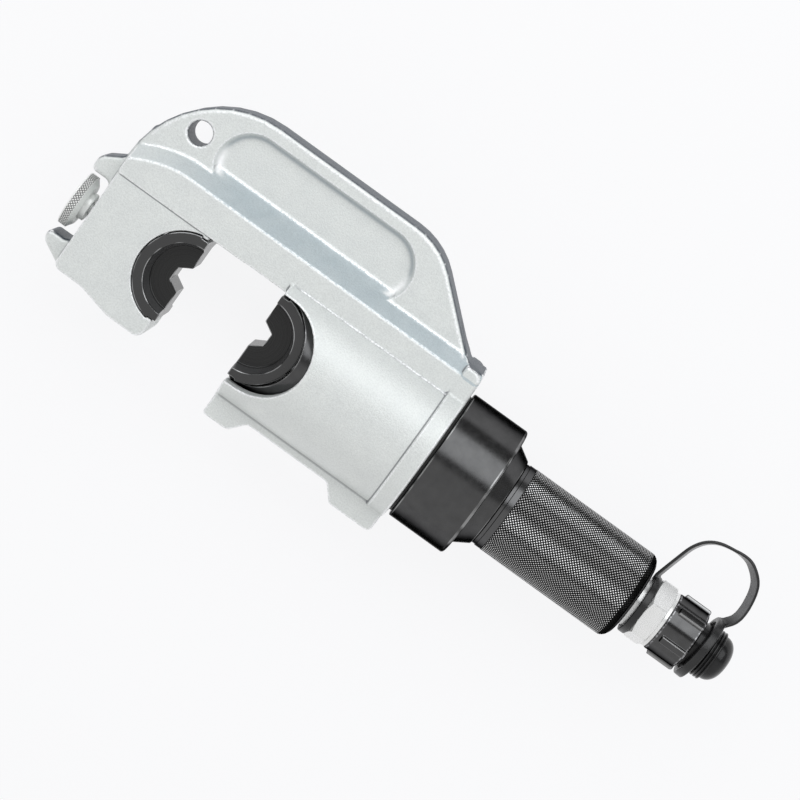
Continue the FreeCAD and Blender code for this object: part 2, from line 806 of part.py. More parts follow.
pin_hole = post("pin_hole", "Size.pin_radius + Size.fit_gap", PIN_X, "0", "Size.ram_radius + 1")
BALL_X = f"({RAM_FACE} + Size.die_radius + Size.fit_gap + Size.ball_radius)"
plunger_hole = rod("plunger_hole", "Size.ball_radius + Size.fit_gap", f"{PLUNGER_START} - 2",
                   f"Size.plunger_length + 2")
ram = node(cut("ram_cut", ram_blank, ram_seat, pin_hole, plunger_hole), "ram")

node(turned("ram_seal_body", [
    (SEAL_START, f"{groove_radius} + Size.fit_gap"),
    (SEAL_START, "Size.ram_radius"),
    (f"{SEAL_START} + Size.seal_width", "Size.ram_radius"),
    (f"{SEAL_START} + Size.seal_width", f"{groove_radius} + Size.fit_gap"),
]), "ram_seal")
node(turned("backup_ring_body", [
    (f"{SEAL_START} + Size.seal_width", f"{groove_radius} + Size.fit_gap"),
    (f"{SEAL_START} + Size.seal_width", "Size.ram_radius"),
    (f"{SEAL_START} + Size.seal_width + Size.backup_width", "Size.ram_radius"),
    (f"{SEAL_START} + Size.seal_width + Size.backup_width", f"{groove_radius} + Size.fit_gap"),
]), "ram_backup_ring")
node(turned("wiper_body", [
    (WIPER_START, BORE_RADIUS),
    (WIPER_START, "Size.ram_radius + Size.wiper_depth - Size.fit_gap"),
    (f"{WIPER_START} + Size.wiper_width", "Size.ram_radius + Size.wiper_depth - Size.fit_gap"),
    (f"{WIPER_START} + Size.wiper_width", BORE_RADIUS),
]), "ram_wiper")

# Plunger in the ram: a sprung ball that bears on the back of the moving die.
ball = doc.addObject("Part::Sphere", "ball")
bind(ball, Radius="Size.ball_radius", Placement__Base__x=BALL_X)
node(ball, "die_ball")
BALL_BACK = f"({BALL_X} + Size.ball_radius)"
node(coil("ball_coil", "Size.ball_radius - Size.plunger_wire - Size.fit_gap * 2", "Size.plunger_wire",
          f"{BALL_BACK} + Size.plunger_wire + Size.fit_gap",
          f"{HOLE_END} - {BALL_BACK} - 2 * Size.plunger_wire - 2 * Size.fit_gap", "Size.plunger_turns"),
     "die_ball_spring")

# Return spring: hooked between a pin across the ram and an anchor bolt in the end cap.
node(post("pin", "Size.pin_radius", PIN_X, "0", "Size.ram_radius - Size.pin_short"), "spring_pin")
SPRING_START = f"({PIN_X} + Size.pin_radius + Size.spring_wire / 2 + Size.free_gap)"
ANCHOR_X = f"({SPIGOT_FRONT} + Size.anchor_setback)"
SPRING_END = f"({ANCHOR_X} - Size.anchor_radius - Size.free_gap - Size.spring_wire / 2)"
node(coil("return_coil", "Size.spring_radius", "Size.spring_wire / 2", SPRING_START,
          f"{SPRING_END} - {SPRING_START}", "Size.spring_turns"), "return_spring")

# End cap: threaded spigot, collar, cone and the neck that carries the handle.
CAP_FLOOR = f"({CAP_REAR} - Size.cap_floor)"
ORING_X = f"({SPIGOT_FRONT} + Size.oring_setback + Size.oring_wire)"
oring_half = "(Size.oring_wire + Size.fit_gap)"
oring_floor = "Size.spigot_radius - 2 * Size.oring_wire - Size.fit_gap"
cap_blank = turned(
    "cap_blank",
    [
        (SPIGOT_FRONT, "Size.cap_bore"),
        (SPIGOT_FRONT, "Size.spigot_radius - Size.spigot_chamfer"),
        (f"{SPIGOT_FRONT} + Size.spigot_chamfer", "Size.spigot_radius"),
        (f"{ORING_X} - {oring_half}", "Size.spigot_radius"),
        (f"{ORING_X} - {oring_half}", oring_floor),
        (f"{ORING_X} + {oring_half}", oring_floor),
        (f"{ORING_X} + {oring_half}", "Size.spigot_radius"),
        (CAP_FRONT, "Size.spigot_radius"),
        (CAP_FRONT, "Size.cap_radius - Size.cap_break"),
        (f"{CAP_FRONT} + Size.cap_break", "Size.cap_radius"),
        (f"{CAP_REAR} - Size.cap_chamfer", "Size.cap_radius"),
        (CAP_REAR, "Size.cap_radius - Size.cap_chamfer"),
        (CAP_REAR, "Size.shoulder_radius"),
        (CONE_END, "Size.cone_radius"),
        (CONE_END, "Size.neck_radius"),
        (f"{CONE_END} + Size.neck_length", "Size.neck_radius"),
        (f"{CONE_END} + Size.neck_length", "Size.oil_bore"),
        (CAP_FLOOR, "Size.oil_bore"),
        (CAP_FLOOR, "Size.cap_bore"),
    ],
)
HANDLE_START = f"({CONE_END} + Size.free_gap)"


def set_screw(name, radius, inner, outer):
    """A radial cylinder in the handle's front groove, towards the set screw's side."""
    item = doc.addObject("Part::Cylinder", name)
    item.Placement = FreeCAD.Placement(
        FreeCAD.Vector(), FreeCAD.Rotation(FreeCAD.Vector(-1, 0, 0), 1))
    return bind(item, Radius=radius, Height=f"{outer} - ({inner})",
                Placement__Rotation__Angle="90 - Size.set_angle",
                Placement__Base__x=f"{HANDLE_START} + Size.groove_width + Size.plain_band / 2",
                Placement__Base__y=f"({inner}) * cos(Size.set_angle)",
                Placement__Base__z=f"({inner}) * sin(Size.set_angle)")


screw_bottom = "Size.handle_radius - Size.knurl_rise - Size.set_length"
tube_socket = rod("tube_socket", "Size.tube_radius + Size.fit_gap", CONE_END, "Size.neck_length + 1")
anchor_hole = post("anchor_hole", "Size.anchor_radius + Size.fit_gap", ANCHOR_X, "0", "Size.spigot_radius + 1")
cap_set_hole = set_screw("cap_set_hole", "Size.set_radius + Size.fit_gap",
                         f"{screw_bottom} - Size.fit_gap", "Size.handle_radius")
node(cut("end_cap_cut", cap_blank, tube_socket, anchor_hole, cap_set_hole), "end_cap")
node(post("anchor", "Size.anchor_radius", ANCHOR_X, "0", "Size.spigot_radius - Size.spigot_chamfer"), "spring_anchor")
node(ring("cap_ring", "Size.spigot_radius - Size.oring_wire", "Size.oring_wire - Size.fit_gap / 2", ORING_X),
     "cap_o_ring")
node(turned("seal_band", [
    (f"{BARREL_END} + Size.fit_gap", "Size.spigot_radius + Size.fit_gap"),
    (f"{BARREL_END} + Size.fit_gap", "Size.ring_radius"),
    (f"{CAP_FRONT} - Size.fit_gap", "Size.ring_radius"),
    (f"{CAP_FRONT} - Size.fit_gap", "Size.spigot_radius + Size.fit_gap"),
]), "cap_seal_ring")

# Handle: a knurled sleeve screwed on the cap's neck and closed at its hose end.
handle_wall_start = f"({HANDLE_END} - Size.handle_wall)"
plain_radius = "Size.handle_radius - Size.knurl_rise"
knurl_start = f"({HANDLE_START} + Size.groove_width + Size.plain_band)"
handle_blank = turned(
    "handle_blank",
    [
        (HANDLE_START, "Size.neck_radius + Size.fit_gap"),
        (HANDLE_START, "Size.handle_radius - Size.handle_groove"),
        (f"{HANDLE_START} + Size.groove_width", "Size.handle_radius - Size.handle_groove"),
        (f"{HANDLE_START} + Size.groove_width", plain_radius),
        (knurl_start, plain_radius),
        (knurl_start, "Size.handle_radius"),
        (HANDLE_END, "Size.handle_radius"),
        (HANDLE_END, "Size.coupler_neck + Size.fit_gap"),
        (handle_wall_start, "Size.coupler_neck + Size.fit_gap"),
        (handle_wall_start, "Size.handle_bore"),
        (f"{CONE_END} + Size.neck_length + Size.socket_gap", "Size.handle_bore"),
        (f"{CONE_END} + Size.neck_length + Size.socket_gap", "Size.neck_radius + Size.fit_gap"),
    ],
    rounds=[(6, "Size.handle_round")],
)
handle_set_hole = set_screw("handle_set_hole", "Size.set_radius + Size.fit_gap", screw_bottom,
                            "Size.handle_radius + 1")
node(cut("handle_cut", handle_blank, handle_set_hole), "handle")
node(set_screw("grub", "Size.set_radius", screw_bottom, plain_radius), "handle_set_screw")

# Oil tube from the cap to the coupler.
TUBE_START = f"({CONE_END} + Size.tube_gap)"
TUBE_END = f"({handle_wall_start} - Size.free_gap)"
node(turned("tube_body", [
    (TUBE_START, "Size.oil_bore"),
    (TUBE_START, "Size.tube_radius"),
    (TUBE_END, "Size.tube_radius"),
    (TUBE_END, "Size.oil_bore"),
]), "oil_tube")

# Coupler body: neck in the handle, hexagon, and the nose that holds the check valve.
NOSE_END = f"({COLLAR_START} + Size.nose_length)"
VALVE_START = f"({HEX_START} - Size.valve_setback)"
coupler_blank = turned(
    "coupler_blank",
    [
        (handle_wall_start, "Size.oil_bore"),
        (handle_wall_start, "Size.coupler_neck"),
        (HEX_END, "Size.coupler_neck"),
        (HEX_END, "Size.nose_radius"),
        (NOSE_END, "Size.nose_radius"),
        (NOSE_END, "Size.valve_mouth"),
        (f"{NOSE_END} - Size.mouth_wall", "Size.valve_mouth"),
        (f"{NOSE_END} - Size.mouth_wall", "Size.valve_bore"),
        (VALVE_START, "Size.valve_bore"),
        (VALVE_START, "Size.oil_bore"),
    ],
)
flat = "Size.hex_flats / 2"
corner = "Size.hex_flats / sqrt(3)"
hexagon = new_body("hexagon")
hex_outline = outline(
    hexagon, "hex_outline",
    [(f"{corner} * cos({60 * i})", f"{corner} * sin({60 * i})") for i in range(6)],
    role="YZ_Plane", lift=HEX_START)
pad(hexagon, "hex_pad", hex_outline, "Size.hex_length", "One side")
bind(hexagon, Placement__Rotation__Angle="Size.hex_turn")
hexagon.Placement.Rotation.Axis = FreeCAD.Vector(1, 0, 0)
hex_bevel = turned(
    "hex_bevel",
    [
        (HEX_START, "0"),
        (HEX_START, f"{flat} + 0.2"),
        (f"{HEX_START} + Size.hex_bevel", f"{corner} + 0.1"),
        (f"{HEX_END} - Size.hex_bevel", f"{corner} + 0.1"),
        (HEX_END, f"{flat} + 0.2"),
        (HEX_END, "0"),
    ],
)
hex_nut = doc.addObject("Part::Common", "hex_nut")
hex_nut.Base = hexagon
hex_nut.Tool = hex_bevel
hex_bored = cut("hex_bored", hex_nut, rod("hex_bore", "Size.coupler_neck - 1", f"{HEX_START} - 1",
                                          "Size.hex_length + 2"))
node(fuse("coupler_body_fuse", coupler_blank, hex_bored), "coupler_body")
node(turned("thrust_ring_body", [
    (HEX_END, "Size.nose_radius + Size.fit_gap"),
    (HEX_END, "Size.thrust_radius - Size.thrust_chamfer"),
    (f"{HEX_END} + Size.thrust_chamfer", "Size.thrust_radius"),
    (f"{COLLAR_START} - Size.thrust_chamfer", "Size.thrust_radius"),
    (COLLAR_START, "Size.thrust_radius - Size.thrust_chamfer"),
    (COLLAR_START, "Size.nose_radius + Size.fit_gap"),
]), "thrust_ring")

# Check valve: poppet and spring behind it.
POPPET_FRONT = f"({NOSE_END} - Size.mouth_wall)"
POPPET_BACK = f"({POPPET_FRONT} - Size.poppet_length)"
node(turned("poppet_body", [
    (POPPET_BACK, "0"),
    (POPPET_BACK, "Size.valve_bore - Size.fit_gap"),
    (f"{POPPET_FRONT} - Size.poppet_taper", "Size.valve_bore - Size.fit_gap"),
    (f"{POPPET_FRONT} - Size.fit_gap", "Size.valve_mouth + Size.poppet_step"),
    (f"{POPPET_FRONT} - Size.fit_gap", "Size.valve_mouth - Size.poppet_step"),
    (f"{NOSE_END} - Size.poppet_short", "Size.valve_mouth - 2 * Size.poppet_step"),
    (f"{NOSE_END} - Size.poppet_short", "0"),
]), "valve_poppet")
node(coil("valve_coil", "Size.valve_bore - Size.valve_wire - Size.fit_gap", "Size.valve_wire",
          f"{VALVE_START} + Size.valve_wire + Size.fit_gap",
          f"{POPPET_BACK} - {VALVE_START} - 2 * Size.valve_wire - 2 * Size.fit_gap", "Size.valve_turns"),
     "valve_spring")

# Collar: the union nut that spins on the nose, with six ribs for the fingers.
collar_blank = turned(
    "collar_blank",
    [
        (f"{COLLAR_START} + Size.fit_gap", "Size.nose_radius + Size.fit_gap"),
        (f"{COLLAR_START} + Size.fit_gap", "Size.collar_radius - Size.collar_chamfer"),
        (f"{COLLAR_START} + Size.fit_gap + Size.collar_chamfer", "Size.collar_radius"),
        (f"{COLLAR_END} - Size.collar_chamfer", "Size.collar_radius"),
        (COLLAR_END, "Size.collar_radius - Size.collar_chamfer"),
        (COLLAR_END, "Size.collar_thread"),
        (f"{COLLAR_START} + Size.collar_flange", "Size.collar_thread"),
        (f"{COLLAR_START} + Size.collar_flange", "Size.nose_radius + Size.fit_gap"),
    ],
)
rib_body = new_body("rib_body")
rib_low = f"{COLLAR_END} - Size.rib_length"
rib_high = COLLAR_END
rib_crest = "Size.collar_radius + Size.rib_rise"
rib_sketch = outline(
    rib_body, "rib_outline",
    [
        (rib_low, "Size.collar_thread + Size.rib_root"),
        (rib_low, "Size.collar_radius - 0.1"),
        (f"{rib_low} + Size.rib_ramp", rib_crest),
        (f"{rib_high} - Size.rib_ramp", rib_crest),
        (rib_high, "Size.collar_radius - 0.1"),
        (rib_high, "Size.collar_thread + Size.rib_root"),
    ])
rib_pad = pad(rib_body, "rib_pad", rib_sketch, "Size.rib_width")
doc.recompute()
rib_ring = rib_body.newObject("PartDesign::PolarPattern", "rib_ring")
rib_ring.Originals = [rib_pad]
rib_ring.Axis = (rib_sketch, ["H_Axis"])
rib_ring.Angle = 360
rib_ring.Occurrences = 6
rib_body.Tip = rib_ring
bind(rib_body, Placement__Rotation__Angle="-Size.rib_turn")
rib_body.Placement.Rotation.Axis = FreeCAD.Vector(1, 0, 0)
node(fuse("collar_fuse", collar_blank, rib_body), "coupler_collar")
CLIP_START = f"({COLLAR_START} + Size.collar_flange + Size.fit_gap)"
node(turned("clip_body", [
    (CLIP_START, "Size.nose_radius + Size.fit_gap"),
    (CLIP_START, "Size.collar_thread - Size.free_gap"),
    (f"{CLIP_START} + Size.clip_width", "Size.collar_thread - Size.free_gap"),
    (f"{CLIP_START} + Size.clip_width", "Size.nose_radius + Size.fit_gap"),
]), "collar_clip")

# Dust plug: a soft cup over the nose, a neck for the tether, three ridges and a domed end.
PLUG_START = f"({COLLAR_END} - Size.plug_depth)"
NECK_START = f"({COLLAR_END} + Size.free_gap)"
NECK_END = f"({NECK_START} + Size.plug_neck_length)"
DOME_START = f"({NECK_END} + 3 * Size.ridge_pitch)"
PLUG_END = f"({DOME_START} + Size.plug_dome)"
plug_outer = "Size.collar_thread - Size.free_gap"
ridges = []
for i in range(3):
    ridge = f"{NECK_END} + {i} * Size.ridge_pitch"
    ridges += [(ridge, "Size.plug_neck"), (f"{ridge} + 0.3 * Size.ridge_pitch", "Size.plug_ridge"),
               (f"{ridge} + 0.7 * Size.ridge_pitch", "Size.plug_ridge")]
node(turned("plug_body", [
    (PLUG_START, "Size.nose_radius + Size.free_gap"),
    (PLUG_START, plug_outer),
    (NECK_START, plug_outer),
    (NECK_START, "Size.plug_neck"),
    *ridges,
    (DOME_START, "Size.plug_neck"),
    (f"{DOME_START} + 0.55 * Size.plug_dome", "0.96 * Size.plug_neck"),
    (f"{DOME_START} + 0.85 * Size.plug_dome", "0.72 * Size.plug_neck"),
    (PLUG_END, "0.3 * Size.plug_neck"),
    (PLUG_END, "0"),
    (f"{NOSE_END} + Size.free_gap", "0"),
    (f"{NOSE_END} + Size.free_gap", "Size.nose_radius + Size.free_gap"),
]), "dust_plug")

# Tether: a ring on the coupler's neck, a ring on the plug's neck and the strap that joins them.
neck_inner = "Size.coupler_neck + Size.free_gap"
neck_outer = f"({neck_inner} + Size.ring_wall)"
plug_inner = "Size.plug_neck + Size.plug_ring_gap"
plug_outside = f"({plug_inner} + Size.plug_ring_wall)"
NECK_RING = f"({HEX_START} - Size.neck_ring - Size.free_gap)"
neck_ring = turned("neck_ring", [
    (NECK_RING, neck_inner),
    (NECK_RING, neck_outer),
    (f"{NECK_RING} + Size.neck_ring", neck_outer),
    (f"{NECK_RING} + Size.neck_ring", neck_inner),
])
PLUG_RING = f"({NECK_START} + Size.plug_ring_setback)"
plug_ring = turned("plug_ring", [
    ("-Size.plug_ring / 2", plug_inner),
    ("-Size.plug_ring / 2", plug_outside),
    ("Size.plug_ring / 2", plug_outside),
    ("Size.plug_ring / 2", plug_inner),
])
bind(plug_ring, Placement__Base__x=PLUG_RING, Placement__Rotation__Angle="-Size.ring_lean")
plug_ring.Placement.Rotation.Axis = FreeCAD.Vector(0, 0, 1)


# Corners of the strap's loop, as shares of its span and rise, and how wide each is turned.
STRAP_BENDS = [(0.045, 0.25), (0.20, 0.90), (0.73, 1.04), (0.96, 0.895), (1.08, 0.69), (1.13, 0.23)]
STRAP_TURNS = [5.0, 1.1, 0.9, 1.1, 1.1, 0.65]


def strap_path(corners, radii):
    """Straight runs through corners, joined by tangent arcs, in the XY plane."""
    edges = []
    last = corners[0]
    for before, at, after, radius in zip(corners, corners[1:], corners[2:], radii):
        inward = (before - at).normalize()
        outward = (after - at).normalize()
        half = inward.getAngle(outward) / 2
        reach = radius / math.tan(half)
        centre = at + (inward + outward).normalize() * (radius / math.sin(half))
        start = at + inward * reach
        end = at + outward * reach
        middle = centre + (at - centre).normalize() * radius
        edges.append(Part.LineSegment(last, start).toShape())
        edges.append(Part.Arc(start, middle, end).toShape())
        last = end
    edges.append(Part.LineSegment(last, corners[-1]).toShape())
    return Part.Wire(edges)


def tether_shape():
    """The strap as a thick curve, its ends sunk in both rings."""
    lean = math.radians(number("Size.ring_lean"))
    sink = number("Size.strap_sink")
    begin = FreeCAD.Vector(number(f"{NECK_RING} + Size.strap_thick / 2"), number(neck_outer) - sink, 0)
    end = FreeCAD.Vector(number(PLUG_RING) + number(plug_outside) * math.sin(lean), number(plug_outside) - sink, 0)
    rise = number("Size.strap_rise") - begin.y
    radius = number("Size.strap_round")
    corners = [begin, *[FreeCAD.Vector(begin.x + along * (end.x - begin.x), begin.y + up * rise, 0)
                        for along, up in STRAP_BENDS], end]
    path = strap_path(corners, [turn * radius for turn in STRAP_TURNS])
    strip = path.makeOffset2D(number("Size.strap_thick"), 0, True, True)
    half = number("Size.strap_half")
    strip.translate(FreeCAD.Vector(0, 0, -half))
    return strip.extrude(FreeCAD.Vector(0, 0, 2 * half))


doc.recompute()
strap = doc.addObject("Part::Feature", "strap")
strap.Shape = tether_shape()
tether = fuse("tether_fuse", neck_ring, plug_ring, strap)
neck_ring_hole = rod("neck_ring_hole", neck_inner, f"{NECK_RING} - 1", "Size.neck_ring + 2")
node(cut("tether_cut", tether, neck_ring_hole), "plug_tether")

# Thumb screw: stem in the jaw's thread, knurled knob on its end.
HUB_END = f"({JAW_END} - Size.screw_stand)"
HUB_START = f"({HUB_END} - Size.hub_length)"
KNOB_START = f"({HUB_START} - Size.knob_width)"
STEM_TIP = "(-Size.die_radius - Size.free_gap)"
STEM_END = f"({HUB_START} - Size.screw_bite)"
node(turned("stem_body", [
    (STEM_END, "0"),
    (STEM_END, "Size.screw_radius"),
    (f"{STEM_TIP} - Size.screw_chamfer", "Size.screw_radius"),
    (STEM_TIP, "Size.screw_radius - Size.screw_chamfer"),
    (STEM_TIP, "0"),
]), "thumb_screw")
node(turned("knob_body", [
    (KNOB_START, "0"),
    (KNOB_START, "Size.knob_radius - Size.knob_chamfer"),
    (f"{KNOB_START} + Size.knob_chamfer", "Size.knob_radius"),
    (HUB_START, "Size.knob_radius"),
    (f"{HUB_START} + Size.knob_taper", "Size.knob_radius - Size.knob_step"),
    (f"{HUB_START} + Size.knob_taper", "Size.hub_radius"),
    (HUB_END, "Size.hub_radius"),
    (HUB_END, "Size.screw_radius + Size.fit_gap"),
    (STEM_END, "Size.screw_radius + Size.fit_gap"),
    (STEM_END, "0"),
]), "thumb_knob")

doc.recompute()
for item in doc.Objects:
    if "Invalid" in item.State or "Error" in item.State:
        raise RuntimeError(f"{item.Name} failed: {item.State}")
os.makedirs("parts", exist_ok=True)
for item in NODES:
    shape = item.Shape
    if shape.isNull() or not shape.isValid() or not shape.Solids:
        raise RuntimeError(f"{item.Label} has no valid solid")
    shape.exportStep(os.path.join("parts", f"{item.Label}.step"))
    box = shape.BoundBox
    print(f"{item.Label}: {len(shape.Solids)} solid, {shape.Volume / 1000:.2f} cm3, "
          f"x {box.XMin:.1f} to {box.XMax:.1f}, y {box.YMin:.1f} to {box.YMax:.1f}")
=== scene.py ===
import math

import bmesh
import bpy
import numpy as np
from mathutils import Matrix, Vector


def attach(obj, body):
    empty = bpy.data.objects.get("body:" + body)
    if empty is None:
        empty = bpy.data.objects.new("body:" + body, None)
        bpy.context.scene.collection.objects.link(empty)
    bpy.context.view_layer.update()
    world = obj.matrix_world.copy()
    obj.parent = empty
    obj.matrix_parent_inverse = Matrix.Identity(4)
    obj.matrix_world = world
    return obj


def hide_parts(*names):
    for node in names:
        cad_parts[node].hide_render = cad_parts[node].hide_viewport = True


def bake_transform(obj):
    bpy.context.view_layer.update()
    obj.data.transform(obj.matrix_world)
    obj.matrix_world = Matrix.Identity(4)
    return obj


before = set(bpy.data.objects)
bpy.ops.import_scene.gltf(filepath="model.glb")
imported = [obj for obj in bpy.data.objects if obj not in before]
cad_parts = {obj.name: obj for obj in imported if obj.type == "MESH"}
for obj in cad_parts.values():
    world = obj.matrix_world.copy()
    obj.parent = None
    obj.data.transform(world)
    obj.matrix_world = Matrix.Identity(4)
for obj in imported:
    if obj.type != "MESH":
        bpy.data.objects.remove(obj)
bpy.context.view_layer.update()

# Camera
# The tool lies flat and is seen from almost straight above, turned so that the handle runs
# down to the right, with the long lens of a catalogue picture.
mm = 0.001
eye = Vector((105.4, 243.6, 1414.2)) * mm
aim = Vector((121.1, 12.8, 0.0)) * mm
roll = math.radians(35.9)
back = (eye - aim).normalized()
level = Vector((0, 1, 0)).cross(back).normalized()
rise = back.cross(level)
camera = bpy.data.objects.new("camera", bpy.data.cameras.new("camera"))
camera.data.sensor_width = 36
camera.data.lens = 129.2
camera.data.clip_end = 20
right = level * math.cos(roll) + rise * math.sin(roll)
up = rise * math.cos(roll) - level * math.sin(roll)
camera.matrix_world = Matrix.Translation(eye) @ Matrix((right, up, back)).transposed().to_4x4()
scene = bpy.context.scene
scene.collection.objects.link(camera)
scene.camera = camera
scene.view_settings.view_transform = "Standard"


# Studio
# A white table under a pale room, one long soft box over the spine's side of the tool, and a
# dark corner of the room low behind that box.
def node(tree, kind, inputs=(), **settings):
    """A shading node with its settings, and its inputs set to values or joined to sockets."""
    made = tree.nodes.new(kind)
    for key, value in settings.items():
        setattr(made, key, value)
    for key, value in dict(inputs).items():
        if isinstance(value, bpy.types.NodeSocket):
            tree.links.new(value, made.inputs[key])
        else:
            made.inputs[key].default_value = value
    return made


def ramp(tree, value, *stops):
    """A colour ramp over a value, with stops of place and grey or colour."""
    made = node(tree, "ShaderNodeValToRGB", {0: value})
    for i, (place, colour) in enumerate(stops):
        if i > 1:
            made.color_ramp.elements.new(place)
        element = made.color_ramp.elements[i]
        element.position = place
        element.color = (*colour, 1) if isinstance(colour, tuple) else (colour, colour, colour, 1)
    return made.outputs[0]


def mask(tree, value, low, high):
    """A value spread so that low gives 0 and high gives 1, and held there beyond."""
    return node(tree, "ShaderNodeMapRange", {0: value, 1: low, 2: high}).outputs[0]


def maths(tree, operation, a, b=0.0):
    """A sum, product or other result of two values."""
    return node(tree, "ShaderNodeMath", {0: a, 1: b}, operation=operation).outputs[0]


def attribute(tree, name):
    """A number that is stored on the mesh's points."""
    return node(tree, "ShaderNodeAttribute", attribute_name=name).outputs["Fac"]


def parts_of(tree, kind="Object"):
    """X, Y and Z of the place, or of another output of the texture coordinates."""
    return node(tree, "ShaderNodeSeparateXYZ", {0: node(tree, "ShaderNodeTexCoord").outputs[kind]}).outputs


def blend_colour(tree, share, a, b):
    """Colour a going over to colour b as the share rises."""
    colours = {key: (*value, 1) if isinstance(value, tuple) else value for key, value in ((6, a), (7, b))}
    return node(tree, "ShaderNodeMix", {0: share, **colours}, data_type="RGBA").outputs[2]


def feed(shader, **values):
    """Joins values to a shader's inputs, with base_color for Base Color and so on."""
    for name, value in values.items():
        shader.id_data.links.new(value, shader.inputs[name.replace("_", " ").title()])


def finish(name, colour, metallic, roughness, edge_tint=1.0):
    """A new material, its node tree and its shader."""
    material = bpy.data.materials.new(name)
    material.use_nodes = True
    shader = material.node_tree.nodes["Principled BSDF"]
    shader.inputs["Base Color"].default_value = (*colour, 1)
    shader.inputs["Metallic"].default_value = metallic
    shader.inputs["Roughness"].default_value = roughness
    shader.inputs["Specular Tint"].default_value = (edge_tint, edge_tint, edge_tint, 1)
    return material, material.node_tree, shader


world = bpy.data.worlds.new("room")
world.use_nodes = True
scene.world = world
room = world.node_tree
room.nodes.clear()
sky = parts_of(room, "Generated")
turn = mask(room, maths(room, "ARCTAN2", sky["Y"], sky["Z"]), -math.pi, math.pi)
shade = ramp(room, turn, (0.1, 0.5), (0.25, 0.8), (0.42, 0.76), (0.513, 0.74), (0.527, 0.18), (0.55, 0.18),
             (0.56, 0.3), (0.69, 0.3), (0.72, 0.18), (0.82, 0.12), (0.95, 0.3))
seen = node(room, "ShaderNodeLightPath")
backdrop = (0.97, 0.97, 0.98, 1)
shown = node(room, "ShaderNodeBackground", {"Color": backdrop, "Strength": 1.0})
lit = node(room, "ShaderNodeBackground", {"Color": shade, "Strength": 1.0})
both_lights = node(room, "ShaderNodeMixShader", {
    0: seen.outputs["Is Camera Ray"], 1: lit.outputs[0], 2: shown.outputs[0]})
node(room, "ShaderNodeOutputWorld", {0: both_lights.outputs[0]})

box_lean = math.radians(43)
box_far = 1.3
box_size = (3.0, 1.04)
box_glow = 1.85
panel = bpy.data.lights.new("soft_box", "AREA")
panel.shape = "RECTANGLE"
panel.color = (0.965, 0.985, 1.0)
panel.size, panel.size_y = box_size
panel.energy = box_glow * math.pi * box_size[0] * box_size[1]
soft_box = bpy.data.objects.new("soft_box", panel)
box_aim = Vector((0.13, 0, 0))
towards = Vector((0, math.sin(box_lean), math.cos(box_lean)))
soft_box.location = box_aim + towards * box_far
soft_box.rotation_euler = (-box_lean, 0, 0)
scene.collection.objects.link(soft_box)

floor_level = -39.65 * mm
table_wash = 0.9
floor_mesh = bpy.data.meshes.new("table")
table_maker = bmesh.new()
bmesh.ops.create_grid(table_maker, x_segments=8, y_segments=8, size=6)
bmesh.ops.translate(table_maker, verts=table_maker.verts, vec=(0, 0, floor_level))
table_maker.to_mesh(floor_mesh)
table_maker.free()
table = bpy.data.objects.new("table", floor_mesh)
scene.collection.objects.link(table)
table_paint, tree, shader = finish("white_table", (0.9, 0.9, 0.9), 0.0, 0.85)
shader.inputs["Specular IOR Level"].default_value = 0.1
specks = node(tree, "ShaderNodeTexNoise", {"Scale": 40.0, "Detail": 3.0}).outputs[0]
feed(shader, base_color=ramp(tree, specks, (0.3, (0.90, 0.90, 0.91)), (0.7, (0.93, 0.93, 0.94))))
ray = node(tree, "ShaderNodeLightPath")
clear_rays = maths(tree, "ADD", ray.outputs["Is Camera Ray"], ray.outputs["Is Glossy Ray"])
clear_rays = maths(tree, "ADD", clear_rays, ray.outputs["Is Transmission Ray"])
pale = node(tree, "ShaderNodeEmission", {"Color": backdrop, "Strength": 1.0})
table_look = node(tree, "ShaderNodeMixShader", {
    0: maths(tree, "MULTIPLY", clear_rays, table_wash), 1: shader.outputs[0], 2: pale.outputs[0]})
tree.links.new(table_look.outputs[0], tree.nodes["Material Output"].inputs["Surface"])
floor_mesh.materials.append(table_paint)


# Frame
# One steel forging: a jaw, a web with a long hollow in each side, a thick rail along the
# throat, and a barrel with two feet. Blasted, plated satin silver, bright where its edges rub,
# with painted highlight lines, painted shade on its rims, flank, creases and one hollow wall,
# and a painted highlight on the other hollow wall.
def rounded(corners, turn_step=9, run=0.0):
    """Outline points through corners of x, y and radius, each corner turned by an arc.

    A fourth number in a corner is how worn its edge is. run adds a point that far along each
    straight beside an arc. Rows are x, y and wear.
    """
    points = []
    count = len(corners)
    for i, corner in enumerate(corners):
        at = np.array(corner[:2], float)
        radius = corner[2]
        wear = corner[3] if len(corner) > 3 else float(0 < radius <= 2)
        if radius == 0:
            points.append((*at, 0.0))
            continue
        before = np.array(corners[i - 1][:2], float) - at
        after = np.array(corners[(i + 1) % count][:2], float) - at
        before /= np.linalg.norm(before)
        after /= np.linalg.norm(after)
        half = math.acos(np.clip(before @ after, -1, 1)) / 2
        centre = at + (before + after) / np.linalg.norm(before + after) * radius / math.sin(half)
        reach = radius / math.tan(half)
        start = at + before * reach - centre
        turn = math.pi - 2 * half
        side = 1 if before[0] * after[1] - before[1] * after[0] < 0 else -1
        steps = max(3, math.ceil(turn / math.radians(turn_step)))
        if run:
            points.append((*(at + before * (reach + run)), 0.0))
        for k in range(steps + 1):
            angle = side * turn * k / steps
            c, s = math.cos(angle), math.sin(angle)
            spot = centre + np.array([start[0] * c - start[1] * s, start[0] * s + start[1] * c])
            points.append((*spot, wear))
        if run:
            points.append((*(at + after * (reach + run)), 0.0))
    return np.array(points)


def off_segment(x, y, ax, ay, bx, by):
    """How far points lie in X and in Y from the nearest place on a straight from a to b."""
    dx, dy = bx - ax, by - ay
    along = np.clip(((x - ax) * dx + (y - ay) * dy) / (dx * dx + dy * dy), 0, 1)
    return x - ax - along * dx, y - ay - along * dy


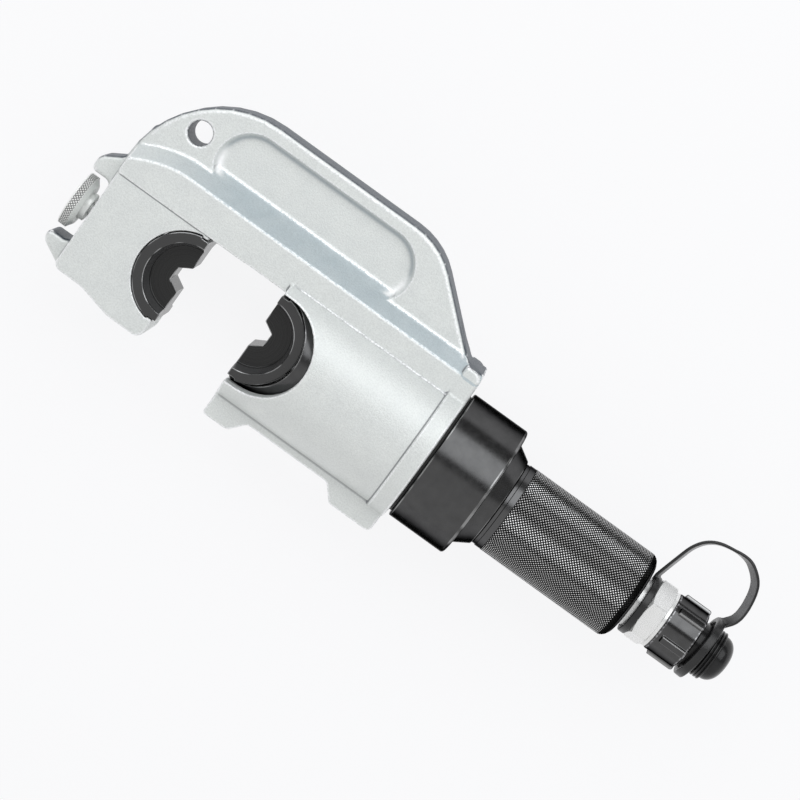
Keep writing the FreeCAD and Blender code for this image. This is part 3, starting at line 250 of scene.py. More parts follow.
def within(outline, x, y):
    """Distance to a closed outline, below zero inside it."""
    nearest = np.full(np.broadcast(x, y).shape, 1e9, np.float32)
    odd = np.zeros(nearest.shape, bool)
    for (ax, ay), (bx, by) in zip(outline[:, :2], np.roll(outline[:, :2], -1, 0)):
        across, aside = off_segment(x, y, ax, ay, bx, by)
        nearest = np.minimum(nearest, across ** 2 + aside ** 2)
        if ay != by:
            odd ^= ((ay > y) != (by > y)) & (x < (bx - ax) * (y - ay) / (by - ay) + ax)
    return np.where(odd, -1, 1) * np.sqrt(nearest)


def both(a, b, r=0.0):
    """Where two forms overlap, the edge between them rounded to r."""
    if r == 0:
        return np.maximum(a, b)
    return np.minimum(np.maximum(a, b), -r) + np.sqrt(np.maximum(a + r, 0) ** 2 + np.maximum(b + r, 0) ** 2)


def joined(a, b, r=0.0):
    """Two forms as one, the corner between them filled to r."""
    return -both(-a, -b, r)


def less(a, b, r=0.0):
    """Form a without form b, the edge of the cut rounded to r."""
    return both(a, -b, r)


def skin(block, origin, cell):
    """Points and quads of the zero surface of a block of distances."""
    solid = block < 0
    nx, ny, nz = block.shape
    mixed = np.zeros((nx - 1, ny - 1, nz - 1), bool)
    corners = [(i, j, k) for i in (0, 1) for j in (0, 1) for k in (0, 1)]
    for i, j, k in corners:
        mixed |= solid[i:nx - 1 + i, j:ny - 1 + j, k:nz - 1 + k] != solid[:-1, :-1, :-1]
    cells = np.argwhere(mixed)
    index = np.full(mixed.shape, -1, np.int32)
    index[mixed] = np.arange(len(cells))
    total = np.zeros((len(cells), 3))
    hits = np.zeros(len(cells))
    for axis in range(3):
        for i, j in ((0, 0), (0, 1), (1, 0), (1, 1)):
            start = np.zeros(3, int)
            start[(axis + 1) % 3], start[(axis + 2) % 3] = i, j
            end = start.copy()
            end[axis] = 1
            a = block[tuple((cells + start).T)]
            b = block[tuple((cells + end).T)]
            cross = (a < 0) != (b < 0)
            share = np.where(cross, a / np.where(cross, a - b, 1), 0)
            total[cross] += (cells + start + share[:, None] * (end - start))[cross]
            hits += cross
    quads = []
    for axis in range(3):
        low = [slice(1, -1)] * 3
        high = [slice(1, -1)] * 3
        low[axis], high[axis] = slice(0, -1), slice(1, None)
        before, after = solid[tuple(low)], solid[tuple(high)]
        off = np.ones(3, int)
        off[axis] = 0
        edges = np.argwhere(before != after) + off
        outward = before[before != after]
        across, beside = np.zeros(3, int), np.zeros(3, int)
        across[(axis + 1) % 3], beside[(axis + 2) % 3] = 1, 1
        ring = [index[tuple((edges - step).T)] for step in (across + beside, beside, 0 * beside, across)]
        quad = np.stack(ring, 1)
        quad[~outward] = quad[~outward][:, ::-1]
        quads.append(quad)
    return origin + cell * total / hits[:, None], np.concatenate(quads)


def points_of(mesh):
    """A mesh's points in millimetres."""
    spots = np.zeros(len(mesh.vertices) * 3, np.float32)
    mesh.vertices.foreach_get("co", spots)
    return spots.reshape(-1, 3) / mm


def mark(mesh, name, values):
    """Stores a number for every point of a mesh under a name."""
    mesh.attributes.new(name, "FLOAT", "POINT").data.foreach_set("value", np.asarray(values, np.float32))


def sampled(block, spots):
    """Distances at spots between a block's points, the spots counted in cells."""
    first = np.clip(np.floor(spots).astype(int), 0, np.array(block.shape) - 2)
    part = np.clip(spots - first, 0, 1)
    total = np.zeros(len(spots))
    for corner in np.ndindex(2, 2, 2):
        share = np.prod(np.where(corner, part, 1 - part), axis=1)
        total += share * block[tuple((first + corner).T)]
    return total


def carved(name, build, low, high, cell, share, reach=0.8, mirrored=True):
    """A mesh of the form build(x, y, z), thinned to a share of its faces.

    If mirrored, the form is the same on both sides of z = 0. Its attribute worn is high on outer
    edges and low in hollows, felt over the reach.
    """
    x = np.arange(low[0], high[0], cell, dtype=np.float32)[:, None, None]
    y = np.arange(low[1], high[1], cell, dtype=np.float32)[None, :, None]
    z = np.arange(cell / 2, high[2], cell, dtype=np.float32)[None, None, :]
    if mirrored:
        half = build(x, y, z).astype(np.float32)
        block = np.concatenate([half[:, :, ::-1], half], axis=2)
    else:
        block = build(x, y, np.concatenate([-z[:, :, ::-1], z], axis=2)).astype(np.float32)
    origin = np.array([low[0], low[1], -float(z.max())])
    points, quads = skin(block, origin, cell)
    mesh = bpy.data.meshes.new(name)
    mesh.vertices.add(len(points))
    mesh.vertices.foreach_set("co", (points * mm).astype(np.float32).ravel())
    mesh.loops.add(len(quads) * 4)
    mesh.loops.foreach_set("vertex_index", quads.astype(np.int32).ravel())
    mesh.polygons.add(len(quads))
    mesh.polygons.foreach_set("loop_start", np.arange(0, len(quads) * 4, 4, dtype=np.int32))
    mesh.update(calc_edges=True)
    mesh.validate()
    rough = bpy.data.objects.new(name, mesh)
    scene.collection.objects.link(rough)
    if share < 1:
        rough.modifiers.new("thin", "DECIMATE").ratio = share
    fine = bpy.data.meshes.new_from_object(rough.evaluated_get(bpy.context.evaluated_depsgraph_get()))
    bpy.data.objects.remove(rough)
    bpy.data.meshes.remove(mesh)
    spots = (points_of(fine) - origin) / cell
    bend = -6 * sampled(block, spots)
    for axis in range(3):
        for way in (-reach, reach):
            step = np.zeros(3)
            step[axis] = way / cell
            bend += sampled(block, spots + step)
    mark(fine, "worn", bend / reach)
    fine.name = name
    return fine


def finished(name, mesh, material, body, slot, *replaced, crease=38, weighted=True):
    """A piece with its material and its body, smooth but for edges sharper than the crease."""
    mesh.shade_smooth()
    mesh.set_sharp_from_angle(angle=math.radians(crease))
    mesh.materials.clear()
    mesh.materials.append(material)
    made = bpy.data.objects.new(name, mesh)
    scene.collection.objects.link(made)
    if weighted:
        made.modifiers.new("normals", "WEIGHTED_NORMAL").keep_sharp = True
    if body:
        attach(made, body)
    if replaced:
        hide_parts(*replaced)
    return made


def noise(tree, size, detail=2.0, squeeze=(1, 1, 1)):
    """Noise whose lumps are about size millimetres across, in the piece's own coordinates."""
    place = node(tree, "ShaderNodeTexCoord").outputs["Object"]
    if squeeze != (1, 1, 1):
        place = node(tree, "ShaderNodeMapping", {"Vector": place, "Scale": squeeze}).outputs[0]
    return node(tree, "ShaderNodeTexNoise",
                {"Vector": place, "Scale": 1 / (size * mm), "Detail": detail}).outputs[0]


def grained(tree, shader, height, depth, strength=1.0):
    """Bumps of a depth in millimetres from a height between 0 and 1."""
    bump = node(tree, "ShaderNodeBump", {"Height": height, "Distance": depth * mm, "Strength": strength})
    feed(shader, normal=bump.outputs[0])


def column(x, y, outline):
    """Distance to a form with the same outline in XY at every height."""
    return within(outline, x[:, :, 0], y[:, :, 0])[:, :, None]


jaw_face, jaw_end, web_end = -1.2, -57.2, -59.0
mouth, slot_end, band_start, barrel_end = 44.6, 76.0, 138.0, 147.8
rail_top, rail_half, slope_width, slope_height = 44.3, 21.0, 11.6, 13.0
spine_top, shoulder_top, slope_foot, rear_angle = 89.6, 49.6, 137.7, math.radians(42.0)
top_corner = slope_foot - (spine_top - shoulder_top) / math.tan(rear_angle)
throat, web_half, floor_half = 26.0, 12.5, 8.0
foot_line, land_line = -48.9, -40.6
hole_x, hole_y, hole_radius = -35.4, 64.4, 6.2
barrel_radius, band_radius, bore_radius, relief_radius = 38.0, 39.6, 29.66, 30.1
cap_thread_radius, cap_thread_start = 33.06, 131.9
wiper_radius, wiper_start, wiper_end = 32.0, 77.4, 80.4
jaw_half, jaw_drop, heel_drop, shoulder_half, foot_half = 20.2, -36.0, -31.5, 21.6, 12
ear_reach, ear_half, ear_inner, ear_foot = 12.8, 12, 18.2, 13.6
seat_radius, lip_depth, lip_half, screw_bore = 25.5, 4.6, 24.2, 4.06
web_outline = rounded([
    (web_end, 32, 0), (web_end, spine_top, 55), (top_corner, spine_top, 40), (slope_foot, shoulder_top, 8),
    (barrel_end, shoulder_top, 5.5), (barrel_end, 32, 0)])
pocket_start, pocket_end, pocket_low, pocket_high, pocket_round = -23, 91.1, 45, 82, 18.49
pocket_outline = rounded([
    (pocket_start, pocket_low, pocket_round), (pocket_end, pocket_low, pocket_round),
    (pocket_end, pocket_high, pocket_round), (pocket_start, pocket_high, pocket_round)])
ear_outlines = []
for side, nose, root in ((1, 26.5, 34.3), (-1, 24.2, 31.0)):
    ear_outlines.append(rounded([
        (jaw_end + 6, side * ear_foot, 0), (jaw_end, side * ear_foot, 0),
        (jaw_end, side * ear_inner, 4.58), (jaw_end - ear_reach, side * ear_inner, 2.6),
        (jaw_end - ear_reach, side * nose, 5), (jaw_end, side * root, 0), (jaw_end + 6, side * root, 0)]))


def plate(x, y, z, outline, half, edge):
    """A plate outlined in XY and half as thick to each side, its rims rounded."""
    return both(column(x, y, outline), z - half, edge)


def rod(x, y, z, radius, start, end, edge=0.0):
    """A cylinder along X."""
    return both(np.sqrt(y ** 2 + z ** 2) - radius, np.maximum(start - x, x - end), edge)


def die_seat(x, y, face, way):
    """The round seat of a die whose flat lies at x = face, way 1 for the jaw's and -1 for the ram's."""
    seat = np.maximum(np.hypot(x - face, y) - seat_radius, way * (x - face) + lip_depth)
    lips = np.maximum(np.abs(x - face) - lip_depth - 0.2, np.abs(y) - lip_half)
    return np.minimum(seat, lips)


def rail_flank(x, y, z):
    """Distance above the rail's sloping flank, which falls away towards the jaw's end."""
    fall = 0.0092 * np.maximum(-24.9 - x, 0) ** 2
    rise = (y + fall - rail_top) * slope_height + (np.abs(z) - rail_half) * slope_width
    return rise / math.hypot(slope_height, slope_width)


def forging(x, y, z):
    """The whole frame."""
    web = plate(x, y, z, web_outline, web_half, 2.4)
    web = less(web, both(column(x, y, pocket_outline), floor_half - z, 4), 0.9)
    rail = both(both(z - rail_half, rail_flank(x, y, z), 0.9), throat - y, 0.8)
    rail = both(rail, np.abs(x - (barrel_end + jaw_end) / 2) - (barrel_end - jaw_end) / 2, 1.0)
    behind = (x - slope_foot) * math.sin(rear_angle) + (y - shoulder_top) * math.cos(rear_angle)
    rail = both(rail, np.minimum(behind, y - shoulder_top), 0.8)
    body = joined(web, rail, 1.3)
    body = joined(body, rod(x, y, z, barrel_radius, mouth, barrel_end, 1.0), 1.0)
    feet = plate(x, y, z, rounded([
        (mouth, -20, 0), (mouth, foot_line, 1.5), (mouth + 15, foot_line, 4), (mouth + 22, land_line, 3),
        (barrel_end - 32.6, land_line, 3), (barrel_end - 25.6, foot_line, 3),
        (barrel_end - 0.8, foot_line, 3), (barrel_end - 0.4, -20, 0)]), foot_half, 1.0)
    body = joined(body, feet, 1.2)
    shoulder = plate(x, y, z, rounded([
        (band_start, 20, 0), (band_start, shoulder_top, 0.5), (barrel_end, shoulder_top, 5.5),
        (barrel_end, 20, 0)]), shoulder_half, 1.6)
    band = joined(rod(x, y, z, band_radius, band_start, barrel_end, 1.0), shoulder, 1.0)
    body = joined(body, band, 0.8)
    jaw = plate(x, y, z, rounded([
        (jaw_end, 28, 0), (jaw_end, heel_drop, 4), (jaw_end + 17, heel_drop, 25),
        (jaw_face - 20, jaw_drop, 25), (jaw_face, jaw_drop, 5), (jaw_face, 28, 0)]), jaw_half, 1.5)
    body = joined(body, jaw)
    for outline in ear_outlines:
        body = joined(body, plate(x, y, z, outline, ear_half, 2.4), 1.8)
    bore = rod(x, y, z, bore_radius, jaw_face, barrel_end + 5)
    body = less(body, joined(bore, rod(x, y, z, relief_radius, jaw_face, slot_end)), 0.6)
    body = less(body, rod(x, y, z, cap_thread_radius, cap_thread_start, barrel_end + 5), 0.4)
    body = less(body, rod(x, y, z, wiper_radius, wiper_start, wiper_end), 0.2)
    slot = rounded([(20, -throat, 0), (slot_end, -throat, 25.9), (slot_end, throat, 25.9), (20, throat, 0)])
    body = less(body, column(x, y, slot) + 0 * z, 0.9)
    body = less(body, die_seat(x, y, 0, 1) + 0 * z, 0.6)
    body = less(body, np.maximum(np.sqrt(y ** 2 + z ** 2) - screw_bore, x + 20), 0.4)
    hang = np.hypot(x - hole_x, y - hole_y) - hole_radius - np.maximum(z - web_half + 0.8, 0)
    return less(body, hang, 0.3)


frame_mesh = carved("forging", forging, (-72, -51), (150, 96, 42), 0.45, 0.35)
x, y, z = points_of(frame_mesh).T
# Painted shade: marks for darkening the outer rims of the web and ears, the top of the band and the bore of
# the hanging hole.
rim = np.clip((within(web_outline, x, y) + 1.5) / 0.8, 0, 1) * (y > 30) * (np.abs(z) < web_half)
for outline in ear_outlines:
    rim = np.maximum(rim, np.clip((within(outline, x, y) + 1.4) / 0.8, 0, 1) * (x < jaw_end - 0.5))
rim = np.maximum(rim, (x > band_start) * np.clip((y - shoulder_top + 1.2) / 0.6, 0, 1))
bore_wall = np.clip((hole_radius + 0.5 - np.hypot(x - hole_x, y - hole_y)) / 0.3, 0, 1)
mark(frame_mesh, "rim", np.maximum(rim, bore_wall))
mark(frame_mesh, "bored", bore_wall)
# Painted shade: the rail's sloping flank is marked to be coloured a darker blue-grey, less so towards the
# jaw's end.
on_flank = (np.abs(rail_flank(x, y, z)) < 0.35) * (np.abs(z) > floor_half - 0.5)
mark(frame_mesh, "flank", on_flank * np.interp(x, (-50, -5), (0.25, 1.0)))
in_hollow = within(pocket_outline, x, y)
web_face = np.where(in_hollow < 0, floor_half, web_half)
# Painted highlight lines: the foot of the rail's flank, its seam with the barrel and a line inside the web's
# rounded edge are marked to be coloured bright, as glints.
painted_glint_lines = np.clip(1.1 - np.abs(np.abs(z) - web_face - 0.4) / 0.45, 0, 1)
painted_glint_lines = painted_glint_lines * (np.abs(rail_flank(x, y, z)) < 0.9) * (y > 44)
seam = np.hypot(y - math.sqrt(barrel_radius ** 2 - rail_half ** 2), np.abs(z) - rail_half)
seam = np.clip(1.4 - seam / 0.6, 0, 1) * (x > mouth + 6) * (x < band_start)
brink = np.abs(within(web_outline, x, y) + 2.0)
brink = np.clip(1.4 - brink / 0.6, 0, 1) * (y > shoulder_top) * (np.abs(z) > web_half - 1.2)
mark(frame_mesh, "painted_glint_lines", np.maximum(np.maximum(painted_glint_lines, seam), brink))
# Painted shade: a darker band along the hollow's far wall, towards the spine.
painted_wall_shade = np.exp(-((in_hollow + 1.7) / 1.1) ** 2) * np.interp(y, (62, 70), (0.0, 1.0))
# Painted highlight: a near-white band along the hollow's near wall, towards the rail.
painted_wall_highlight = np.exp(-((in_hollow + 2.3) / 1.8) ** 2)
painted_wall_highlight = painted_wall_highlight * np.interp(y, (52.5, 53.5, 61, 68), (0.0, 1.0, 1.0, 0.0))
mark(frame_mesh, "painted_wall_shade", painted_wall_shade * (np.abs(z) < web_half))
mark(frame_mesh, "painted_wall_highlight", painted_wall_highlight * (np.abs(z) < web_half))

frame_finish, tree, shader = finish("satin_plate", (0.77, 0.80, 0.79), 0.3, 0.45)
worn, rim, bored, flank, painted_glint_lines, painted_wall_shade, painted_wall_highlight = (
    attribute(tree, name) for name in ("worn", "rim", "bored", "flank", "painted_glint_lines", "painted_wall_shade", "painted_wall_highlight"))
facing = parts_of(tree, "Normal")
along = parts_of(tree)["X"]
# Painted shade on the rims, kept to faces that turn sideways and towards +Y, or lie in the bore.
rim = maths(tree, "MULTIPLY", rim, mask(tree, maths(tree, "ABSOLUTE", facing["Z"]), 0.85, 0.6))
in_bore = mask(tree, bored, 0.4, 0.6)
rim = maths(tree, "MULTIPLY", rim, maths(tree, "MAXIMUM", mask(tree, facing["Y"], 0.0, 0.3), in_bore))
fine = noise(tree, 0.8)
lumps = noise(tree, 9.0, 3.0)
# Bright marks: worn outer edges, plus the painted highlight lines above, in broken stretches.
wear_and_glints = maths(tree, "MAXIMUM", mask(tree, worn, 0.3, 0.6), painted_glint_lines)
wear_and_glints = maths(tree, "MULTIPLY", wear_and_glints, mask(tree, noise(tree, 1.0), 0.33, 0.58))
# Painted shade: concave creases ahead of the band are darkened.
ahead_of_band = mask(tree, along, (band_start + 0.5) * mm, (band_start - 0.5) * mm)
crease = maths(tree, "MULTIPLY", mask(tree, worn, -0.3, -0.7), ahead_of_band)
tone = ramp(tree, lumps, (0.3, (0.755, 0.78, 0.77)), (0.7, (0.79, 0.815, 0.80)))
# Painted shade for the flank: a darker blue-grey than the plain plate.
painted_slope_shade = ramp(tree, lumps, (0.3, (0.52, 0.59, 0.62)), (0.7, (0.57, 0.635, 0.66)))
tone = blend_colour(tree, flank, tone, painted_slope_shade)
# The painted shade on the hollow's far wall.
tone = blend_colour(tree, painted_wall_shade, tone, (0.46, 0.50, 0.52))
tone = blend_colour(tree, crease, tone, (0.24, 0.25, 0.26))
# The painted shade on the rims and the bore: a dark blue-grey.
tone = blend_colour(tree, rim, tone, (0.06, 0.075, 0.095))
speck = ramp(tree, fine, (0.33, 0.9), (0.62, 1.0))
tone = node(tree, "ShaderNodeMix", {0: 1.0, 6: tone, 7: speck},
            data_type="RGBA", blend_type="MULTIPLY").outputs[2]
# The painted highlight on the hollow's near wall.
tone = blend_colour(tree, painted_wall_highlight, tone, (0.99, 0.995, 1.0))
tone = blend_colour(tree, wear_and_glints, tone, (0.97, 0.98, 0.99))
feed(shader, base_color=tone, metallic=ramp(tree, wear_and_glints, (0.0, 0.3), (1.0, 0.75)),
     roughness=ramp(tree, fine, (0.25, 0.36), (0.75, 0.52)))
grained(tree, shader, maths(tree, "ADD", noise(tree, 0.6), noise(tree, 1.2)), 0.12)
finished("forged_frame", frame_mesh, frame_finish, "frame", "frame_metal", "c_frame", "frame_barrel",
         crease=50)


# Dies
# Two hardened half discs, blacked all over, each with half of a hexagon milled in its flat.
# A raised rim runs round each side, and the ground edges show as thin bright lines.
die_half, die_radius, hex_side = 21.0, 25.0, 7.3
well_radius, well_floor, well_lean = 17.4, 12.0, 2.2 / 9


def half_die(x, y, z):
    """The fixed die, its flat at x = 0 and its round towards the jaw."""
    r = np.hypot(x, y)
    disc = both(r - die_radius, z - die_half, 0.6)
    wall = (r - well_radius - (z - well_floor) * well_lean) / math.hypot(1, well_lean)
    disc = less(disc, both(wall, well_floor - z, 0.8), 0.35)
    disc = both(disc, x + 0 * r, 0.35)
    disc = less(disc, np.maximum(-lip_depth - x, die_radius - 1.3 - np.abs(y)), 0.3)
    depth = hex_side * math.cos(math.radians(30))
    notch = np.array([(-depth, -hex_side / 2), (-depth, hex_side / 2), (0, hex_side), (2, hex_side),
                      (2, -hex_side), (0, -hex_side)])
    return less(disc, column(x, y, notch) + 0 * z, 0.3)


def bare_edges(tree):
    """Where the blacking is worn off the edges, in stretches."""
    stretches = mask(tree, noise(tree, 10.0, 1.0), 0.38, 0.55)
    return maths(tree, "MULTIPLY", mask(tree, attribute(tree, "worn"), 0.25, 0.6), stretches)


die_finish, tree, shader = finish("black_die_steel", (0.015, 0.015, 0.015), 0.0, 0.24)
rings = node(tree, "ShaderNodeTexNoise", {"W": attribute(tree, "ring"), "Scale": 1.7, "Detail": 1.0},
             noise_dimensions="1D").outputs[0]
height = maths(tree, "ABSOLUTE", parts_of(tree)["Z"])
# Painted light: the well's sloping wall is coloured much lighter than the face and rim, lifting it out of the
# shade it lies in.
painted_wall_light = mask(tree, height, (well_floor + 0.5) * mm, (well_floor + 1.3) * mm)
top_rim = mask(tree, height, (die_half - 1.4) * mm, (die_half - 0.4) * mm)
tone = blend_colour(tree, painted_wall_light, ramp(tree, rings, (0.35, 0.007), (0.65, 0.013)), (0.06, 0.06, 0.061))
tone = blend_colour(tree, top_rim, tone, (0.013, 0.013, 0.0135))
wear_and_glints = bare_edges(tree)
feed(shader, base_color=blend_colour(tree, wear_and_glints, tone, (0.45, 0.45, 0.455)),
     metallic=maths(tree, "MULTIPLY", wear_and_glints, 0.8))
tree.links.new(ramp(tree, top_rim, (0.0, 0.42), (1.0, 0.85)), shader.inputs["Specular IOR Level"])
grained(tree, shader, rings, 0.006, 0.5)
die_mesh = carved("die", half_die, (-26, -26), (1, 26, 22), 0.3, 1.0, reach=0.3)
mark(die_mesh, "ring", np.hypot(*points_of(die_mesh).T[:2]))
finished("fixed_half_die", die_mesh, die_finish, "fixed_die", "black_steel", "fixed_die")
ram_face = 44.0
other_mesh = die_mesh.copy()
other_mesh.transform(Matrix.Translation((ram_face * mm, 0, 0)) @ Matrix.Rotation(math.pi, 4, "Z"))
finished("moving_half_die", other_mesh, die_finish, "moving_die", "black_steel", "moving_die")


# Ram
# A blacked steel piston with the moving die's seat in its face, hollow behind for the return
# spring. Its seal and backing ring ride in one groove, and a wiper sits in the barrel.
ram_radius, ram_end, ram_bevel = 29.6, 132.0, 3.0
hollow_radius, hollow_start = 19.0, 82.0
groove_radius, groove_start, groove_end = 26.0, 123.6, 129.0
pin_place, pin_radius, ball_bore = 89.5, 3.06, 2.56
black_finish, tree, shader = finish("black_oxide", (0.09, 0.09, 0.09), 1.0, 0.22, edge_tint=0.1)
tone = ramp(tree, noise(tree, 6.0, 4.0), (0.3, (0.084, 0.084, 0.085)), (0.7, (0.10, 0.10, 0.101)))
feed(shader, base_color=blend_colour(tree, bare_edges(tree), tone, (0.3, 0.3, 0.302)),
     roughness=ramp(tree, noise(tree, 2.2, 4.0), (0.3, 0.18), (0.7, 0.26)))
grained(tree, shader, noise(tree, 0.3), 0.004, 0.5)


def piston(x, y, z):
    """The ram, with its hollow, seal groove, hole for the pin, ball bore and die seat."""
    body = rod(x, y, z, ram_radius, ram_face, ram_end)
    bevel = (np.sqrt(y ** 2 + z ** 2) - ram_radius + ram_face + ram_bevel - x) / math.sqrt(2)
    body = both(body, bevel, 0.5)
    body = less(body, rod(x, y, z, hollow_radius, hollow_start, ram_end + 8), 0.8)
    groove = both(groove_radius - np.sqrt(y ** 2 + z ** 2), np.maximum(groove_start - x, x - groove_end))
    body = less(body, groove, 0.2)
    body = less(body, np.hypot(x - pin_place, y) - pin_radius + 0 * z, 0.3)
    body = less(body, rod(x, y, z, ball_bore, 67, 80.5), 0.3)
    return less(body, die_seat(x, y, ram_face, -1) + 0 * z, 0.6)


ram_mesh = carved("piston", piston, (42, -31), (134, 31, 31), 0.4, 0.6, reach=0.4)
finished("hollow_ram", ram_mesh, black_finish, "ram", "black_steel", "ram")


def repaint(material, *names):
    """Gives CAD nodes their finish."""
    for name in names:
        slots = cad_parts[name].data.materials
        slots.clear()
        slots.append(material)


def rough_grain(tree, shader, height, least, most, depth, strength=1.0):
    """Bumps from a height between 0 and 1, rougher from least to most where they rise."""
    feed(shader, roughness=ramp(tree, height, (0.3, least), (0.7, most)))
    grained(tree, shader, height, depth, strength)


def soft_finish(name, colour, roughness, lump, depth):
    """Moulded rubber or plastic: a little mottled, with the mould's fine grain."""
    material, tree, shader = finish(name, colour, 0.0, roughness)
    darker = tuple(value * 0.7 for value in colour)
    lighter = tuple(value * 1.3 for value in colour)
    feed(shader, base_color=ramp(tree, noise(tree, 8.0, 3.0), (0.3, darker), (0.7, lighter)))
    rough_grain(tree, shader, noise(tree, lump, 3.0), roughness - 0.06, roughness + 0.08, depth)
    return material


def turned_steel(name, colour, roughness, metallic=0.7):
    """Bright steel off the lathe: fine rings about the X axis, and a trace of oil."""
    material, tree, shader = finish(name, colour, metallic, roughness)
    rings = noise(tree, 0.35, 3.0, (1, 0.02, 0.02))
    duller = tuple(value * 0.97 for value in colour)
    feed(shader, base_color=ramp(tree, noise(tree, 5.0, 3.0), (0.3, duller), (0.65, colour)))
    rough_grain(tree, shader, rings, roughness - 0.06, roughness + 0.08, 0.003)
    return material


seal_finish = soft_finish("seal_rubber", (0.02, 0.02, 0.02), 0.6, 0.3, 0.01)
guide_finish = soft_finish("guide_plastic", (0.62, 0.57, 0.44), 0.5, 0.4, 0.01)
steel_finish = turned_steel("bright_steel", (0.80, 0.80, 0.80), 0.22)
wire_finish = turned_steel("spring_wire", (0.46, 0.46, 0.47), 0.3)
repaint(seal_finish, "ram_seal", "ram_wiper", "cap_o_ring")
repaint(guide_finish, "ram_backup_ring")
repaint(steel_finish, "die_ball", "spring_pin", "spring_anchor", "oil_tube")
repaint(wire_finish, "collar_clip")


# Springs
# Round drawn wire. The return spring is hooked over the ram's pin and the cap's anchor bolt,
# and the small ones stand behind the die's ball and the check valve.
def tube(path, radius, around=10):
    """Points and faces of a round wire along a path, closed at both ends."""
    path = np.array(path, float)
    ahead = np.gradient(path, axis=0)
    ahead /= np.linalg.norm(ahead, axis=1)[:, None]
    side = np.cross(ahead[0], (0.3, 0.2, 1.0))
    points = []
    for spot, way in zip(path, ahead):
        side = side - way * (side @ way)
        side /= np.linalg.norm(side)
        over = np.cross(way, side)
        points += [spot + radius * (math.cos(a) * side + math.sin(a) * over)
                   for a in np.arange(around) * 2 * math.pi / around]
    count = len(path)
    faces = [(i * around + j, i * around + (j + 1) % around, (i + 1) * around + (j + 1) % around,
              (i + 1) * around + j) for i in range(count - 1) for j in range(around)]
    faces += [tuple(range(around))[::-1], tuple(range((count - 1) * around, count * around))]
    return points, faces


def mesh_of(name, points, faces, wear=None):
    """A mesh from points in millimetres, its doubled points merged and its faces turned outwards."""
    mesh = bpy.data.meshes.new(name)
    mesh.from_pydata((np.asarray(points, float) * mm).tolist(), [], faces)
    if wear is not None:
        mark(mesh, "worn", wear)
    maker = bmesh.new()
    maker.from_mesh(mesh)
    bmesh.ops.remove_doubles(maker, verts=maker.verts, dist=1e-6)
    bmesh.ops.recalc_face_normals(maker, faces=maker.faces)
    maker.to_mesh(mesh)
    maker.free()
    return mesh


def spring(name, radius, wire, start, end, turns, hooks, replaced):
    """A coil along X from start to end, with its ends hooked over pins along Z or closed flat."""
    steps = 24 * turns
    share = np.arange(steps + 1) / steps
    spread = share if hooks else np.clip((share * turns - 0.8) / (turns - 1.6), 0, 1)
    if not hooks:
        spread = spread + (share - spread) * 2 * wire / (end - start)
    angle = 2 * math.pi * turns * share
    path = np.stack([start + (end - start) * spread, radius * np.sin(angle), radius * np.cos(angle)], 1)
    if hooks:
        for at, step, first in ((start, -1, True), (end, 1, False)):
            swing = np.linspace(0, math.pi, 14)[1:]
            hook = np.stack([at + step * hooks * np.sin(swing), radius * 0.2 * np.sin(swing),
                             radius * np.cos(swing)], 1)
            path = np.concatenate([hook[::-1], path]) if first else np.concatenate([path, hook])
    made = finished(name, mesh_of(name, *tube(path, wire)), wire_finish, None, "spring_steel", replaced,
                    weighted=False)
    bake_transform(made)


spring("hooked_return_spring", 9.5, 1.5, 95.8, 136.8, 11, 4.5, "return_spring")
spring("valve_coil", 5.64, 0.9, 277.36, 292.94, 5, 0, "valve_spring")
spring("ball_coil", 1.78, 0.6, 74.78, 79.78, 4, 0, "die_ball_spring")


# End cap
# A blacked steel plug screwed in the barrel, with a wide plain collar, a short cone and a neck
# inside the handle. A thin black ring seals it against the frame.
def turned_mesh(name, outline, steps=192, closed=True, alter=None, diamonds=None):
    """A piece turned about X from rows of x, radius and wear, which is kept as worn.

    alter(x, radius, angle) may shape it further. Cells between the rows in diamonds are split
    across their low corners, so that dented rows make pyramids.
    """
    outline = np.array(outline, float)
    rows = len(outline)
    angle = np.arange(steps) * 2 * math.pi / steps
    x = np.repeat(outline[:, :1], steps, 1)
    radius = np.repeat(outline[:, 1:2], steps, 1)
    if alter:
        x, radius = alter(x, radius, angle[None, :])
    points = np.stack([x, radius * np.cos(angle), radius * np.sin(angle)], 2).reshape(-1, 3)
    faces = []
    for i in range(rows if closed else rows - 1):
        here, there = i * steps, (i + 1) % rows * steps
        for j in range(steps):
            k = (j + 1) % steps
            corner = (here + j, here + k, there + k, there + j)
            if diamonds and diamonds[0] <= i < diamonds[1]:
                first = (i + j) % 2
                quad = corner[first:] + corner[:first]
                faces += [(quad[0], quad[1], quad[2]), (quad[0], quad[2], quad[3])]
            else:
                faces.append(corner)
    return mesh_of(name, points, faces, np.repeat(outline[:, 2], steps))


cap_front, cap_rear, cap_radius, cone_end = 149.8, 182.8, 37.0, 191.2
shank_start, shank_radius, cap_bore, cap_bore_end = 132.3, 33.0, 21.0, 170.8
seal_start, seal_end, seal_floor = 134.2, 137.4, 29.94
neck_outer, neck_bore, oil_port = 20.0, 7.06, 3.0
cap_outline = rounded([
    (shank_start, cap_bore, 0), (shank_start, shank_radius, 0.8), (seal_start, shank_radius, 0),
    (seal_start, seal_floor, 0), (seal_end, seal_floor, 0), (seal_end, shank_radius, 0),
    (cap_front, shank_radius, 0), (cap_front, cap_radius, 0.7), (cap_rear, cap_radius, 1.5),
    (cap_rear, 30.2, 0.5, 0), (cone_end, 25.0, 0.6), (cone_end, neck_outer, 0),
    (cone_end + 17, neck_outer, 0.5), (cone_end + 17, neck_bore, 0), (cone_end, neck_bore, 0),
    (cone_end, oil_port, 0), (cap_bore_end, oil_port, 0), (cap_bore_end, cap_bore, 0)], run=0.25)
finished("turned_end_cap", turned_mesh("end_cap_turning", cap_outline), black_finish, "frame", "black_steel",
         "end_cap")
